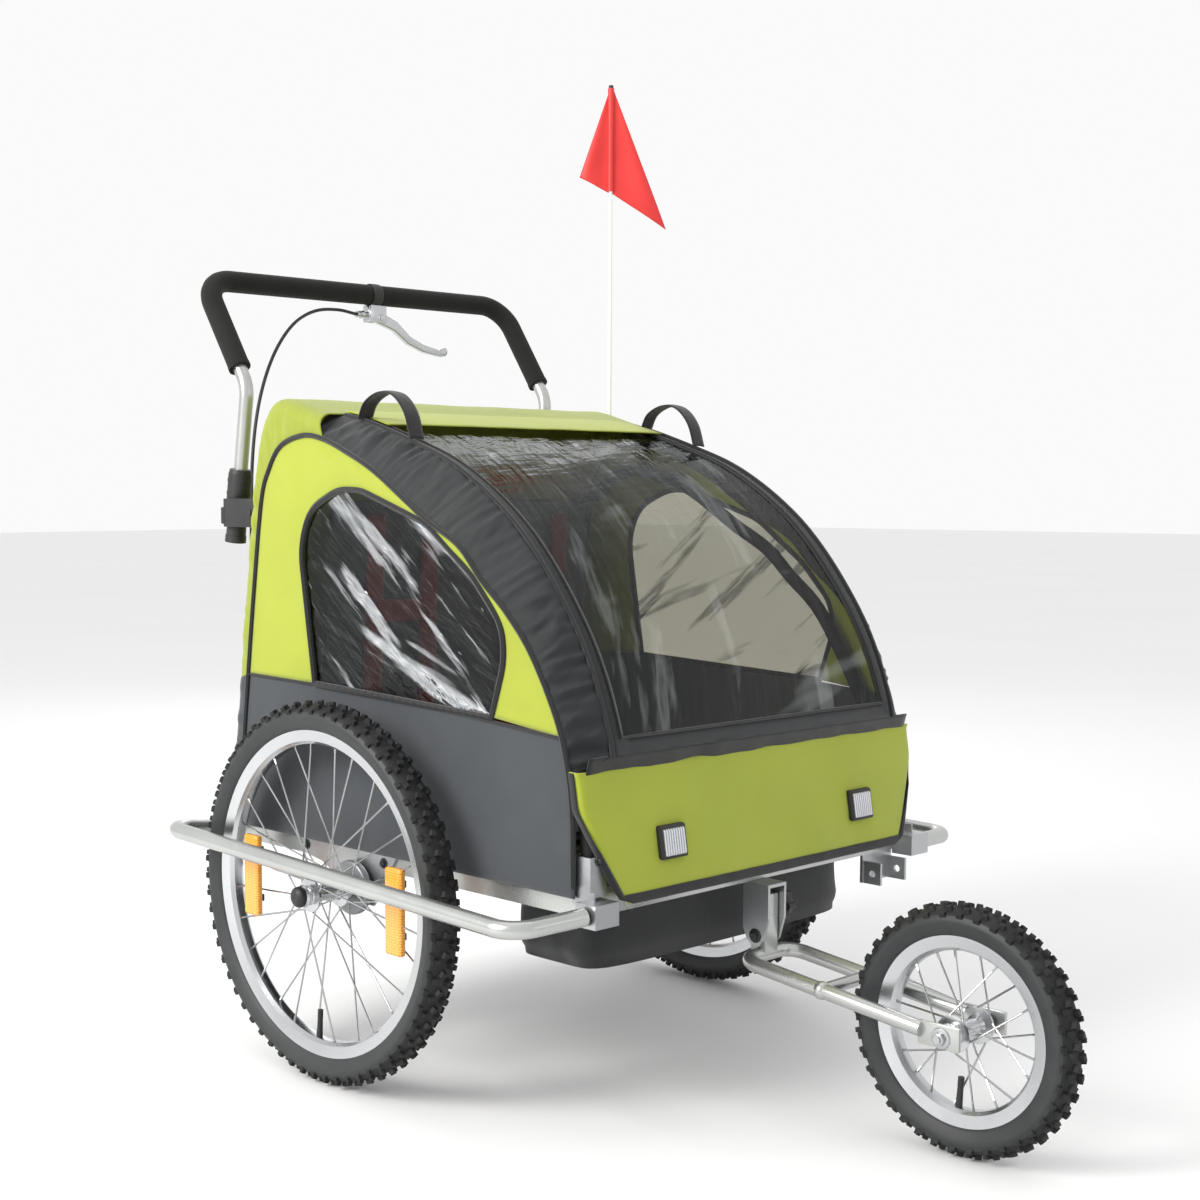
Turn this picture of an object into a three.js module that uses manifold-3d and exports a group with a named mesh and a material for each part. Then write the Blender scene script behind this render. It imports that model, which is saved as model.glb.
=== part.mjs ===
// Child bicycle trailer with a jogger wheel: a welded base frame, two side frames that fold inward,
// a fabric cabin, a push handle with a brake lever, two spoked road wheels and one small front wheel.
// Millimetres, +Z up. The vehicle faces -Y and its right side is -X. Shapes are laid out from the
// road wheels' axle line (y = 0, ground z = 0); the whole group is then shifted along Y so that the
// origin is at the centre of the footprint.
import * as THREE from 'three';
import { mergeVertices } from 'three/addons/utils/BufferGeometryUtils.js';
import Module from 'manifold-3d';

const wasm = await Module();
wasm.setup();

// ---- driving dimensions -------------------------------------------------------------------
const GAP = 0.4; // between pieces that touch

const ROAD_WHEEL = { outer: 250, width: 47, bead: 209, track: 373, spokes: 28, hubHalf: 38, bore: 6.6 };
const JOGGER_WHEEL = { outer: 149, width: 45, bead: 108, track: 0, spokes: 20, hubHalf: 40, bore: 5.6 };
const JOGGER_Y = -721; // front axle line
const HANDLE_BACK = 397.5; // rearmost point, on the brake clamp round the grip
const CENTRE_Y = (JOGGER_Y - JOGGER_WHEEL.outer + HANDLE_BACK) / 2;

const RAIL = { x: 300, size: 25, z0: 276.5, front: -413.5, back: 305 };
const BUMPER_RADIUS = 11;
const CABIN_HALF = 322; // outer face of the side fabric
const CLOTH = 3.5; // thickness of the fabric solids
const FRAME_X = 302; // plane of each side frame
const FRAME_RADIUS = 9.5;
const FOLD_Z = 345; // height of the side frames' hinge lines
const NEST = 25; // the left side frame is this much smaller all round, so it nests in the right one
const HANDLE = { x: 293, radius: 10, foamRadius: 15.5, topY: 378, topZ: 1072 };
const PIVOT = { y: -425, z: 209 }; // jogger arm's pivot bolt
const ARM = { x: 48, radius: 9.5 };
const POLE = { x: 331, y: 165, radius: 3, z0: 284, z1: 1401 };
const FLAG_TOP = 1404;

// Side view outlines, as [y, z].
const PIPING = [[-402, 312], [-400, 400], [-390, 460], [-372, 511], [-332, 579], [-290, 625], [-247, 661],
  [-204, 703], [-141, 735], [-47, 792], [18, 821], [64, 837], [106, 842], [155, 829], [183, 797],
  [201, 754], [220, 637], [237, 514], [262, 312]];
const SIDE_WINDOW = [[113, 690], [94, 743], [29, 771], [-18, 769], [-146, 728], [-229, 667], [-282, 610],
  [-287, 569], [-264, 498], [84, 512]];
const COVER_EDGE = [[72, 867], [20, 856], [-58, 832], [-129, 807], [-187, 777], [-240, 741], [-282, 704],
  [-324, 656], [-365, 598], [-392, 546], [-412, 491], [-419, 462]];
const COVER_SIDE = [[62, 846], [19, 832], [-50, 806], [-140, 752], [-204, 716], [-250, 675], [-295, 637],
  [-338, 590], [-380, 516], [-399, 466]];
const REAR_EDGE = [[297, 312], [293, 371], [282, 415], [268, 502], [245, 672], [218, 824], [196, 879],
  [162, 893], [74, 870]];
const HOOP_LINE = [[-410, 345], [-401, 400], [-386, 462], [-362, 511], [-321, 580], [-285, 627], [-241, 664],
  [-195, 705], [-132, 740], [-44, 793], [23, 816], [68, 824], [110, 822], [150, 805], [180, 782]];

// ---- materials ----------------------------------------------------------------------------
const material = (color, roughness, metalness = 0) =>
  new THREE.MeshStandardMaterial({ color, roughness, metalness });
const steel = material(0xc8ccc5, 0.35, 0.9);
const zinc = material(0xb4b8b4, 0.45, 0.8);
const rubber = material(0x2a2c2e, 0.85);
const foam = material(0x191916, 0.9);
const plastic = material(0x1c1c1c, 0.5);
const lime = material(0xa9bd3c, 0.8);
const charcoal = material(0x46494e, 0.8);
const black = material(0x1c1d1f, 0.8);
const clear = material(0xc9cfd2, 0.1);
const silver = material(0xd5d8dc, 0.25, 0.2);
const red = material(0xd73c37, 0.6);
const white = material(0xe9e6dd, 0.4);

// ---- solids -------------------------------------------------------------------------------
function toSolid(geometry) {
  const bare = geometry.clone();
  bare.deleteAttribute('normal');
  bare.deleteAttribute('uv');
  const merged = mergeVertices(bare, 1e-4);
  return new wasm.Manifold(new wasm.Mesh({
    numProp: 3,
    vertProperties: Float32Array.from(merged.attributes.position.array),
    triVerts: Uint32Array.from(merged.index.array),
  }));
}

function toGeometry(solid) {
  const mesh = solid.getMesh();
  const geometry = new THREE.BufferGeometry();
  geometry.setAttribute('position', new THREE.BufferAttribute(mesh.vertProperties, 3));
  geometry.setIndex(new THREE.BufferAttribute(mesh.triVerts, 1));
  return geometry;
}

const join = (...parts) => toGeometry(parts.map(toSolid).reduce((a, b) => a.add(b)));
const cut = (part, ...tools) => toGeometry(tools.map(toSolid).reduce((a, b) => a.subtract(b), toSolid(part)));

function box([x0, x1], [y0, y1], [z0, z1]) {
  return new THREE.BoxGeometry(x1 - x0, y1 - y0, z1 - z0)
    .translate((x0 + x1) / 2, (y0 + y1) / 2, (z0 + z1) / 2);
}

/** A rod along X, Y or Z through a point, from one coordinate on that axis to another. */
function rod(axis, radius, from, to, [u, v], sides = 12) {
  const geometry = new THREE.CylinderGeometry(radius, radius, to - from, sides);
  const middle = (from + to) / 2;
  if (axis === 'x') return geometry.rotateZ(-Math.PI / 2).translate(middle, u, v);
  if (axis === 'y') return geometry.translate(u, middle, v);
  return geometry.rotateX(Math.PI / 2).translate(u, v, middle);
}

const shapeOf = (outline) => new THREE.Shape(outline.map(([a, b]) => new THREE.Vector2(a, b)));

/** A plate with a side view outline of [y, z] points, between two places on X. */
function sidePlate(outline, x0, x1) {
  const basis = new THREE.Matrix4().makeBasis(
    new THREE.Vector3(0, 1, 0), new THREE.Vector3(0, 0, 1), new THREE.Vector3(1, 0, 0));
  return new THREE.ExtrudeGeometry(shapeOf(outline), { depth: x1 - x0, bevelEnabled: false })
    .applyMatrix4(basis).translate(x0, 0, 0);
}

/** A plate with a front view outline of [x, z] points, between two places on Y. */
function frontPlate(outline, y0, y1) {
  const basis = new THREE.Matrix4().makeBasis(
    new THREE.Vector3(1, 0, 0), new THREE.Vector3(0, 0, 1), new THREE.Vector3(0, -1, 0));
  return new THREE.ExtrudeGeometry(shapeOf(outline), { depth: y1 - y0, bevelEnabled: false })
    .applyMatrix4(basis).translate(0, y1, 0);
}

/** Moves an open outline sideways: to +Y where it runs up, and up where it runs to -Y. */
function offset(outline, distance) {
  return outline.map(([y, z], i) => {
    const [y0, z0] = outline[Math.max(i - 1, 0)];
    const [y1, z1] = outline[Math.min(i + 1, outline.length - 1)];
    const length = Math.hypot(y1 - y0, z1 - z0);
    return [y + distance * (z1 - z0) / length, z - distance * (y1 - y0) / length];
  });
}

/** Straight runs through corner points, with a round bend at each inner corner. */
class TubePath extends THREE.Curve {
  constructor(corners, bend, steps = 5) {
    super();
    const points = corners.map((c) => new THREE.Vector3(...c));
    this.stops = [points[0]];
    for (let i = 1; i < points.length - 1; i++) {
      const toward = points[i - 1].clone().sub(points[i]).normalize();
      const away = points[i + 1].clone().sub(points[i]).normalize();
      const half = toward.angleTo(away) / 2;
      const reach = bend / Math.tan(half);
      const centre = toward.clone().add(away).normalize().multiplyScalar(bend / Math.sin(half)).add(points[i]);
      const first = points[i].clone().addScaledVector(toward, reach).sub(centre);
      const last = points[i].clone().addScaledVector(away, reach).sub(centre);
      const sweep = first.angleTo(last);
      for (let k = 0; k <= steps; k++) {
        const a = Math.sin((1 - k / steps) * sweep) / Math.sin(sweep);
        const b = Math.sin((k / steps) * sweep) / Math.sin(sweep);
        this.stops.push(first.clone().multiplyScalar(a).addScaledVector(last, b).add(centre));
      }
    }
    this.stops.push(points.at(-1));
  }

  getUtoTmapping(u) { return u; }

  getPoint(t) {
    const place = t * (this.stops.length - 1);
    const i = Math.min(Math.floor(place), this.stops.length - 2);
    return this.stops[i].clone().lerp(this.stops[i + 1], place - i);
  }

  getTangent(t) {
    const i = Math.round(t * (this.stops.length - 1));
    const before = this.stops[Math.max(i - 1, 0)];
    const here = this.stops[i];
    const after = this.stops[Math.min(i + 1, this.stops.length - 1)];
    const arriving = here.clone().sub(before).normalize();
    return after.clone().sub(here).normalize().add(arriving).normalize();
  }
}

function ring(radius, sides) {
  return Array.from({ length: sides }, (_, k) => {
    const angle = (k / sides) * 2 * Math.PI;
    return new THREE.Vector2(radius * Math.cos(angle), radius * Math.sin(angle));
  });
}

/** A bent tube, solid or with a bore. */
function tube(corners, radius, { bend = 40, sides = 10, bore = 0, steps = 5 } = {}) {
  const path = new TubePath(corners, bend, steps);
  const section = new THREE.Shape(ring(radius, sides));
  if (bore) section.holes.push(new THREE.Path(ring(bore, sides)));
  return new THREE.ExtrudeGeometry(section, { steps: path.stops.length - 1, extrudePath: path });
}

/** A tube through a list of points, all of which it passes. */
function softTube(points, radius, sides, steps) {
  const path = new THREE.CatmullRomCurve3(points.map((p) => new THREE.Vector3(...p)), false, 'centripetal');
  return new THREE.ExtrudeGeometry(new THREE.Shape(ring(radius, sides)), { steps, extrudePath: path });
}

/** A solid of revolution about X, from a closed profile of [radius, x] points. */
function turned(profile, segments) {
  const closed = [...profile, profile[0]].map(([r, x]) => new THREE.Vector2(r, x));
  return new THREE.LatheGeometry(closed, segments).rotateZ(-Math.PI / 2);
}

// ---- assembly -----------------------------------------------------------------------------
const trailer = new THREE.Group();
trailer.position.y = -CENTRE_Y;

function add(name, geometry, finish, parent = trailer) {
  const mesh = new THREE.Mesh(geometry, finish);
  mesh.name = name;
  parent.add(mesh);
  return mesh;
}

const SIDES = [['right', -1], ['left', 1]];
/** A span on X, mirrored to the side it is for, with its lower end first. */
const span = (side, inner, outer) => (side < 0 ? [-outer, -inner] : [inner, outer]);
const mirrorX = (side, points) => points.map(([x, y, z]) => [side * x, y, z]);

// Base frame: square rails with three crossbars between them.
const railZ = [RAIL.z0, RAIL.z0 + RAIL.size];
const railInner = RAIL.x - RAIL.size / 2;
const railOuter = RAIL.x + RAIL.size / 2;
const crossbarX = [-railInner + GAP, railInner - GAP];
for (const [word, side] of SIDES) {
  add(`${word}_side_rail`, box(span(side, railInner, railOuter), [RAIL.front, RAIL.back], railZ), steel);
}
for (const [word, y] of [['front', RAIL.front], ['axle', -RAIL.size / 2], ['rear', RAIL.back - RAIL.size]]) {
  add(`${word}_crossbar`, box(crossbarX, [y, y + RAIL.size], railZ), steel);
}

// Axle plates hang from the rails, and the road wheels' axles stand out of them.
const AXLE_PLATE = [[-78, 300], [-52, 262], [-30, 228], [30, 228], [46, 258], [80, 272], [130, 280], [130, 300]];
const AXLE_Z = ROAD_WHEEL.outer;
for (const [word, side] of SIDES) {
  const [x0, x1] = span(side, railOuter + GAP, railOuter + 4);
  const hole = rod('x', 6.5, x0 - 1, x1 + 1, [0, AXLE_Z]);
  add(`${word}_axle_plate`, cut(sidePlate(AXLE_PLATE, x0, x1), hole), zinc);
  const hubEnd = ROAD_WHEEL.track + ROAD_WHEEL.hubHalf;
  add(`${word}_axle`, rod('x', 6, ...span(side, 306, hubEnd - 1), [0, AXLE_Z]), zinc);
}

// Fold brackets: a U of plate at each end of each rail, with the pin that a side frame turns on.
function foldBracket(side, y, lowest, tail = []) {
  const outer = span(side, 313.6, 316);
  const across = span(side, 288, 315);
  const [front, back] = [y - 14, y + 15.5];
  const wall = 2.5;
  const base = railZ[1] + GAP;
  return join(
    box(outer, [front, back], [lowest, 349]),
    box(across, [front, front + wall], [base, 349]),
    box(across, [back - wall, back], [base, 349]),
    box(across, [front, back], [base, base + wall]),
    rod('y', 3, front, back, [side * FRAME_X, FOLD_Z]),
    ...tail);
}
const frontFoldY = { '-1': HOOP_LINE[0][0], 1: HOOP_LINE[0][0] + NEST };
const rearFoldY = { '-1': 275, 1: 275 - NEST };
for (const [word, side] of SIDES) {
  const clampBlock = box(span(side, 291, 330), [-446, RAIL.front - GAP], [271, 299]);
  const tongue = box(span(side, 313.6, 316), [-430, frontFoldY[side]], [290, 310]);
  add(`${word}_front_bracket`, foldBracket(side, frontFoldY[side], 293, [clampBlock, tongue]), zinc);
  add(`${word}_rear_bracket`, foldBracket(side, rearFoldY[side], 302), zinc);
}

// Wheel guards: a bent tube from each front bracket, outside the wheel, to the rail's rear end.
for (const [word, side] of SIDES) {
  const route = [[333, -431, 285], [429, -412, 279], [419, 300, 301], [railOuter + 2, 293, 289]];
  add(`${word}_wheel_guard`, tube(mirrorX(side, route), BUMPER_RADIUS, { bend: 34 }), steel);
}

// Hitch bracket for a towing arm, under the left front corner.
const hitchBack = box([226, 292], [-412, -408], [238, railZ[0] - GAP]);
const hitchTabs = [[228, 232], [284, 288]].map((x) => box(x, [-440, -410], [238, 268]));
const hitchHole = rod('x', 5, 220, 300, [-427, 252]);
add('hitch_bracket', cut(join(hitchBack, ...hitchTabs), hitchHole), zinc);

// Front clevis: two ears under the front crossbar.
const EAR = [[-445, 273], [-445, 232], [-439.5, 213], [-437, 203], [-432, 198], [-425, 196], [-417, 198],
  [-411, 204], [-405, 217], [-405, 273]];
const boltHoles = [rod('x', 4.5, -30, 30, [PIVOT.y, PIVOT.z]), rod('x', 4.5, 5, 30, [PIVOT.y, 242])];
const clevisTop = box([-18, 18], [-445, -389], [272, railZ[0] - GAP]);
add('front_clevis', cut(join(sidePlate(EAR, -18, -14), sidePlate(EAR, 14, 18), clevisTop), ...boltHoles), zinc);

// Brake: a drum housing behind the right wheel's hub, and the cable from the lever to it.
const drum = cut(rod('x', 36, -334, -322, [0, AXLE_Z], 20), rod('x', 6.5, -340, -310, [0, AXLE_Z]));
add('brake_drum', drum, zinc);
const CABLE = [[-14, 378, 1041], [-50, 378, 1045], [-95, 373, 1040], [-140, 363, 1020], [-180, 350, 985],
  [-212, 338, 940], [-236, 328, 885], [-250, 322, 820], [-255, 320, 740], [-256, 320, 640], [-256, 321, 540],
  [-256, 322, 440], [-257, 322, 360], [-260, 318, 300], [-268, 300, 262], [-285, 260, 246], [-308, 205, 243],
  [-322, 145, 246], [-328, 90, 254], [-328, 37, 262]];
add('brake_cable', softTube(CABLE, 2.5, 8, 60), plastic);

// Floor with a sunken footwell between the front and axle crossbars, open at the top.
const well = { x: [-262, 262], y: [-374, -216], z: [188, 276] };
const wellHole = box([well.x[0] + 4, well.x[1] - 4], [well.y[0] + 4, well.y[1] - 4], [well.z[0] + 4, 320]);
const floorSheet = box([-284, 284], [-384, 278], [302, 305]);
add('floor_and_footwell', cut(join(box(well.x, well.y, [well.z[0], 303]), floorSheet), wellHole), black);

// Seat: a cushion, a sling back, and a harness for each child.
add('seat_cushion', box([-258, 258], [-205, 168], [305 + GAP, 330]), charcoal);
const SEAT_BACK = [[150, 332], [172, 332], [150, 760], [128, 760]];
add('seat_back', sidePlate(SEAT_BACK, -258, 258), charcoal);
for (const [word, side] of SIDES) {
  const strapLine = [[143, 340], [149, 340], [128.5, 735], [122.5, 735]];
  const chestLine = [[132, 560], [137.5, 560], [133.5, 640], [128, 640]];
  const middle = side * 130;
  const straps = [-1, 1].map((k) => sidePlate(strapLine, middle + k * 50 - 16, middle + k * 50 + 16));
  const chest = sidePlate(chestLine, middle - 50, middle + 50);
  add(`${word}_harness`, join(...straps, chest), red);
}

// Cabin sides: one fabric panel with a clear window in each.
const windowGap = 0.6;
const inWindow = offset([...SIDE_WINDOW, SIDE_WINDOW[0], SIDE_WINDOW[1]], -windowGap).slice(1, -1);
for (const [word, side] of SIDES) {
  const [x0, x1] = span(side, CABIN_HALF - CLOTH, CABIN_HALF);
  const hole = sidePlate(SIDE_WINDOW, x0 - 1, x1 + 1);
  add(`${word}_side_panel`, cut(sidePlate(PIPING, x0, x1), hole), lime);
  add(`${word}_side_window`, sidePlate(inWindow, x0 + 1, x1 - 1), clear);
}

// Canopy: roof and rear wall in one sheet, wrapped round the sides behind the side panels.
const rearPiping = offset(PIPING.slice(-8), -2.5);
const canopyOuter = [...REAR_EDGE, ...rearPiping];
const roofInside = offset(REAR_EDGE, -CLOTH);
const canopyInner = [...roofInside.slice(0, -1), [60, 862], [60, 300], [roofInside[0][0], 300]];
const innerHalf = CABIN_HALF - CLOTH;
const slits = SIDES.map(([, side]) => box(span(side, 310, 317.5), [200, 260], [708, 772]));
const canopyHollow = sidePlate(canopyInner, -innerHalf, innerHalf);
add('canopy', cut(sidePlate(canopyOuter, -CABIN_HALF, CABIN_HALF), canopyHollow, ...slits), lime);

// Front cover: a black border over the front of the side frames, round a clear window.
const coverSheet = (outer, inner, x0, x1) => sidePlate([...outer, ...offset(inner, -CLOTH).reverse()], x0, x1);
const coverFace = { half: 276, windowHalf: 258 };
const coverParts = [coverSheet(COVER_EDGE, COVER_EDGE, -coverFace.half, coverFace.half)];
for (const [, side] of SIDES) {
  coverParts.push(coverSheet(COVER_EDGE, COVER_SIDE, ...span(side, coverFace.half - CLOTH, coverFace.half)));
  coverParts.push(coverSheet(COVER_SIDE, COVER_SIDE, ...span(side, coverFace.half - CLOTH, CABIN_HALF)));
}
const windowOpening = (edge) => box([-coverFace.windowHalf - edge, coverFace.windowHalf + edge], [-405 - edge, 45 + edge],
  [500 - edge, 880]);
add('front_cover', cut(join(...coverParts), windowOpening(windowGap)), black);
const windowSheet = toSolid(coverSheet(COVER_EDGE, COVER_EDGE, -coverFace.half, coverFace.half));
add('front_window', toGeometry(windowSheet.intersect(toSolid(windowOpening(0)))), clear);

// Front panel: lime fabric over a stiff board, its lower corners cut away, with two reflectors.
const PANEL = [[-326, 447], [-326, 403], [-281, 300], [-262, 290], [262, 290], [281, 300], [326, 403], [326, 447]];
const lean = 0.16;
const panelFace = (z) => -412 - (447 - z) * lean;
const panel = frontPlate(PANEL, 0, CLOTH);
panel.applyMatrix4(new THREE.Matrix4().set(1, 0, 0, 0, 0, 1, lean, panelFace(0), 0, 0, 1, 0, 0, 0, 0, 1));
add('front_panel', panel, lime);
for (const [word, side] of SIDES) {
  const face = panelFace(354);
  const reflector = box(span(side, 164, 210), [-11, -GAP], [334, 374]);
  reflector.applyMatrix4(new THREE.Matrix4().set(1, 0, 0, 0, 0, 1, lean, face - 354 * lean, 0, 0, 1, 0, 0, 0, 0, 1));
  add(`${word}_panel_reflector`, reflector, silver);
}

// Webbing loops that tie up the rolled front cover.
for (const [word, side] of SIDES) {
  const loop = [[side * 274, 34, 866], [side * 274, 10, 888], [side * 274, -30, 892], [side * 274, -62, 872],
    [side * 274, -70, 838]];
  const path = new THREE.CatmullRomCurve3(loop.map((p) => new THREE.Vector3(...p)));
  const strap = new THREE.Shape([[-1, -12], [1, -12], [1, 12], [-1, 12]].map((p) => new THREE.Vector2(...p)));
  const loopSolid = new THREE.ExtrudeGeometry(strap, { steps: 10, extrudePath: path });
  const underCover = sidePlate([...offset(COVER_EDGE, 0.5), [-419, 300], [72, 300]], -400, 400);
  add(`${word}_lift_loop`, cut(loopSolid, underCover), black);
}

// Flag pole socket on the left rail, the pole, and the flag on it.
const socket = cut(box([railOuter + GAP, 340], [POLE.y - 9, POLE.y + 9], [279, 311]),
  rod('z', POLE.radius + 0.6, POLE.z0 - 1, 400, [POLE.x, POLE.y]));
add('flag_pole_socket', socket, plastic);
add('flag_pole', rod('z', POLE.radius, POLE.z0, POLE.z1, [POLE.x, POLE.y], 8), white);
const FLAG = [[2, FLAG_TOP], [-3, FLAG_TOP], [-49, 1262], [0, 1236], [88, 1181], [12, 1352]];
const flagCloth = frontPlate(FLAG, -1, 1).rotateZ(-0.75).translate(POLE.x, POLE.y, 0);
const flagSleeve = rod('z', POLE.radius + 1.8, 1264, FLAG_TOP, [POLE.x, POLE.y], 10);
const poleBore = rod('z', POLE.radius + 0.5, 1200, FLAG_TOP - 2, [POLE.x, POLE.y], 8);
add('flag', cut(join(flagCloth, flagSleeve), poleBore), red);

// Side frames: a leaning upright and a hoop to the front bracket. The left one is smaller by NEST,
// and its upright stops just above its hoop, so that it folds past the right one's hoop.
const uprightLine = offset(REAR_EDGE.slice(1, 7), -20);
for (const [word, side] of SIDES) {
  const nest = side < 0 ? 0 : NEST;
  const inset = (line, distance) => offset(line, distance).map(([y, z]) => [side * FRAME_X, y, z]);
  const pinHole = (y) => rod('y', 3.6, y - 20, y + 20, [side * FRAME_X, FOLD_Z]);
  const foot = (y) => [side * FRAME_X, y, FOLD_Z - 5];
  const fullUpright = [foot(rearFoldY[side]), ...inset(uprightLine, -nest)];
  const along = (share) => new THREE.Vector3(...fullUpright[4]).lerp(new THREE.Vector3(...fullUpright[5]), share);
  const weld = along(0.65).toArray();
  const upright = side < 0 ? fullUpright : [...fullUpright.slice(0, 5), along(0.71).toArray()];
  const uprightTube = (radius) => tube(upright, radius, { bend: 60, steps: 2 });
  add(`${word}_upright`, cut(uprightTube(FRAME_RADIUS), pinHole(rearFoldY[side])), steel);
  const hoop = [foot(frontFoldY[side]), ...inset(HOOP_LINE, nest).slice(1), weld];
  const hoopTube = softTube(hoop, FRAME_RADIUS, 10, 32);
  add(`${word}_hoop`, cut(hoopTube, pinHole(frontFoldY[side]), uprightTube(FRAME_RADIUS + GAP)), steel);
}

// Push handle: a bent tube in foam, standing in a sleeve at each end.
const LEG = { foot: [305, 702], knee: [272, 915] };
const handleRoute = [[-HANDLE.x, ...LEG.foot], [-HANDLE.x, ...LEG.knee], [-HANDLE.x, HANDLE.topY, HANDLE.topZ],
  [HANDLE.x, HANDLE.topY, HANDLE.topZ], [HANDLE.x, ...LEG.knee], [HANDLE.x, ...LEG.foot]];
add('handle_tube', tube(handleRoute, HANDLE.radius, { bend: 45 }), steel);
const foamFoot = [289.4, 940.7];
const foamRoute = [[-HANDLE.x, ...foamFoot], ...handleRoute.slice(2, 4), [HANDLE.x, ...foamFoot]];
add('foam_grip', tube(foamRoute, HANDLE.foamRadius, { bend: 45, bore: 11 }), foam);
const legTilt = Math.atan2(LEG.foot[0] - LEG.knee[0], LEG.knee[1] - LEG.foot[1]);
const SLEEVE = [[11, -6], [14, -6], [14, 48], [17, 50], [17, 98], [11, 98]];
for (const [word, side] of SIDES) {
  const barrel = new THREE.LatheGeometry([...SLEEVE, SLEEVE[0]].map((p) => new THREE.Vector2(...p)), 14)
    .rotateX(Math.PI / 2 + legTilt).translate(side * HANDLE.x, ...LEG.foot);
  const [x0, x1] = span(side, 312.5, 316);
  const arm = sidePlate([[222, 718], [222, 758], [300, 758], [310, 718]], x0, x1);
  const lug = cut(box(span(side, 303, 316), [292, 306], [720, 745]), rod('z', 12, 700, 800, [side * HANDLE.x, 299]));
  add(`${word}_handle_sleeve`, join(barrel, arm, lug), plastic);
}

// Brake lever: a clamp round the foam, and the lever blade on its pin.
const barY = HANDLE.topY;
const LEVER_PIN = [30, 1037];
const clampRing = rod('x', 19.5, 8, 32, [barY, HANDLE.topZ], 16);
const clampBlock = box([6, 40], [barY - 10, barY + 10], [1029, 1056]);
const barrelTube = rod('x', 5, -13, 7, [barY, 1041]);
const clampPin = rod('y', 2.5, barY - 9, barY + 9, LEVER_PIN);
const leverSlot = box([14, 60], [barY - 5.6, barY + 5.6], [1020, 1049]);
const clampBody = cut(join(clampRing, clampBlock, barrelTube), leverSlot,
  rod('x', HANDLE.foamRadius + GAP, 0, 50, [barY, HANDLE.topZ], 16));
add('brake_clamp', join(clampBody, clampPin), plastic);
const LEVER = [[22, 1030], [34, 1028], [60, 1020], [88, 1000], [120, 990], [158, 984], [172, 992], [168, 1000],
  [156, 994], [122, 1001], [94, 1012], [66, 1034], [40, 1044], [24, 1044]];
add('brake_lever', cut(frontPlate(LEVER, barY - 5, barY + 5), rod('y', 3.1, 300, 450, LEVER_PIN)), silver);

// Wheels: a tyre on a laced wheel of rim, spokes and hub.
function wheel(word, size, place) {
  const group = new THREE.Group();
  group.position.set(...place);
  trailer.add(group);
  const { outer, bead, spokes, hubHalf, bore } = size;
  const half = size.width / 2;
  const segments = outer > 200 ? 40 : 32;
  const rimBase = bead - 14;
  add(`${word}_tyre`, turned([[bead + GAP, -half * 0.55], [bead + 8, -half * 0.85], [outer - half, -half],
    [outer - 9, -half * 0.78], [outer - 2, -half * 0.4], [outer, 0], [outer - 2, half * 0.4],
    [outer - 9, half * 0.78], [outer - half, half], [bead + 8, half * 0.85], [bead + GAP, half * 0.55]].reverse()
    .map(([r, x]) => [r, -x]), segments), rubber, group);
  const rim = turned([[bead, -12], [bead, 12], [bead - 8, 12], [rimBase, 8], [rimBase, -8], [bead - 8, -12]],
    segments);
  const flange = hubHalf * 0.62;
  const hub = turned([[bore, -hubHalf], [bore, hubHalf], [11, hubHalf], [12, flange + 3], [21, flange + 2],
    [21, flange - 2], [12, flange - 4], [12, 4 - flange], [21, 2 - flange], [21, -flange - 2],
    [12, -flange - 3], [11, -hubHalf]].reverse(), 16);
  const laces = [];
  for (let k = 0; k < spokes; k++) {
    const side = k % 2 ? 1 : -1;
    const lean = (k % 4 < 2 ? 1 : -1) * 0.12;
    const angle = (k / spokes) * 2 * Math.PI;
    const start = new THREE.Vector3(side * flange, 18 * Math.cos(angle + lean), 18 * Math.sin(angle + lean));
    const end = new THREE.Vector3(side * 2.5, (rimBase + 3) * Math.cos(angle), (rimBase + 3) * Math.sin(angle));
    const along = end.clone().sub(start);
    const turn = new THREE.Quaternion().setFromUnitVectors(new THREE.Vector3(0, 1, 0), along.clone().normalize());
    laces.push(new THREE.CylinderGeometry(1.2, 1.2, along.length(), 4).applyQuaternion(turn)
      .translate(...start.clone().add(end).multiplyScalar(0.5).toArray()));
  }
  add(`${word}_laced_wheel`, join(rim, hub, ...laces), steel, group);
}
for (const [word, side] of SIDES) wheel(`${word}`, ROAD_WHEEL, [side * ROAD_WHEEL.track, 0, ROAD_WHEEL.outer]);
wheel('jogger', JOGGER_WHEEL, [0, JOGGER_Y, JOGGER_WHEEL.outer]);

// Jogger arm: a U of tube with a brace, a post into the clevis and flattened dropouts.
const DROPOUT = [[-738, 140], [-738, 158], [-722, 165], [-690, 166], [-690, 146], [-722, 133]];
const armRoute = [[-ARM.x, -694, 154], [-ARM.x, -428, 184], [ARM.x, -428, 184], [ARM.x, -694, 154]];
const armTube = tube(armRoute, ARM.radius, { bend: 26, sides: 10 });
const brace = rod('x', 8, -ARM.x, ARM.x, [-552, 170]);
const post = box([-13, 13], [-437, -413], [180, 262]);
const dropouts = [-1, 1].map((k) => sidePlate(DROPOUT, ARM.x * k - 2.5, ARM.x * k + 2.5));
const armBores = [rod('x', 4.5, -30, 30, [PIVOT.y, PIVOT.z]), rod('x', 5.5, -80, 80, [JOGGER_Y, JOGGER_WHEEL.outer])];
add('jogger_arm', cut(join(armTube, brace, post, ...dropouts), ...armBores), steel);
add('jogger_axle', rod('x', 5, -60, 60, [JOGGER_Y, JOGGER_WHEEL.outer]), zinc);
add('arm_pivot_bolt', rod('x', 4, -24, 24, [PIVOT.y, PIVOT.z]), zinc);
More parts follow.
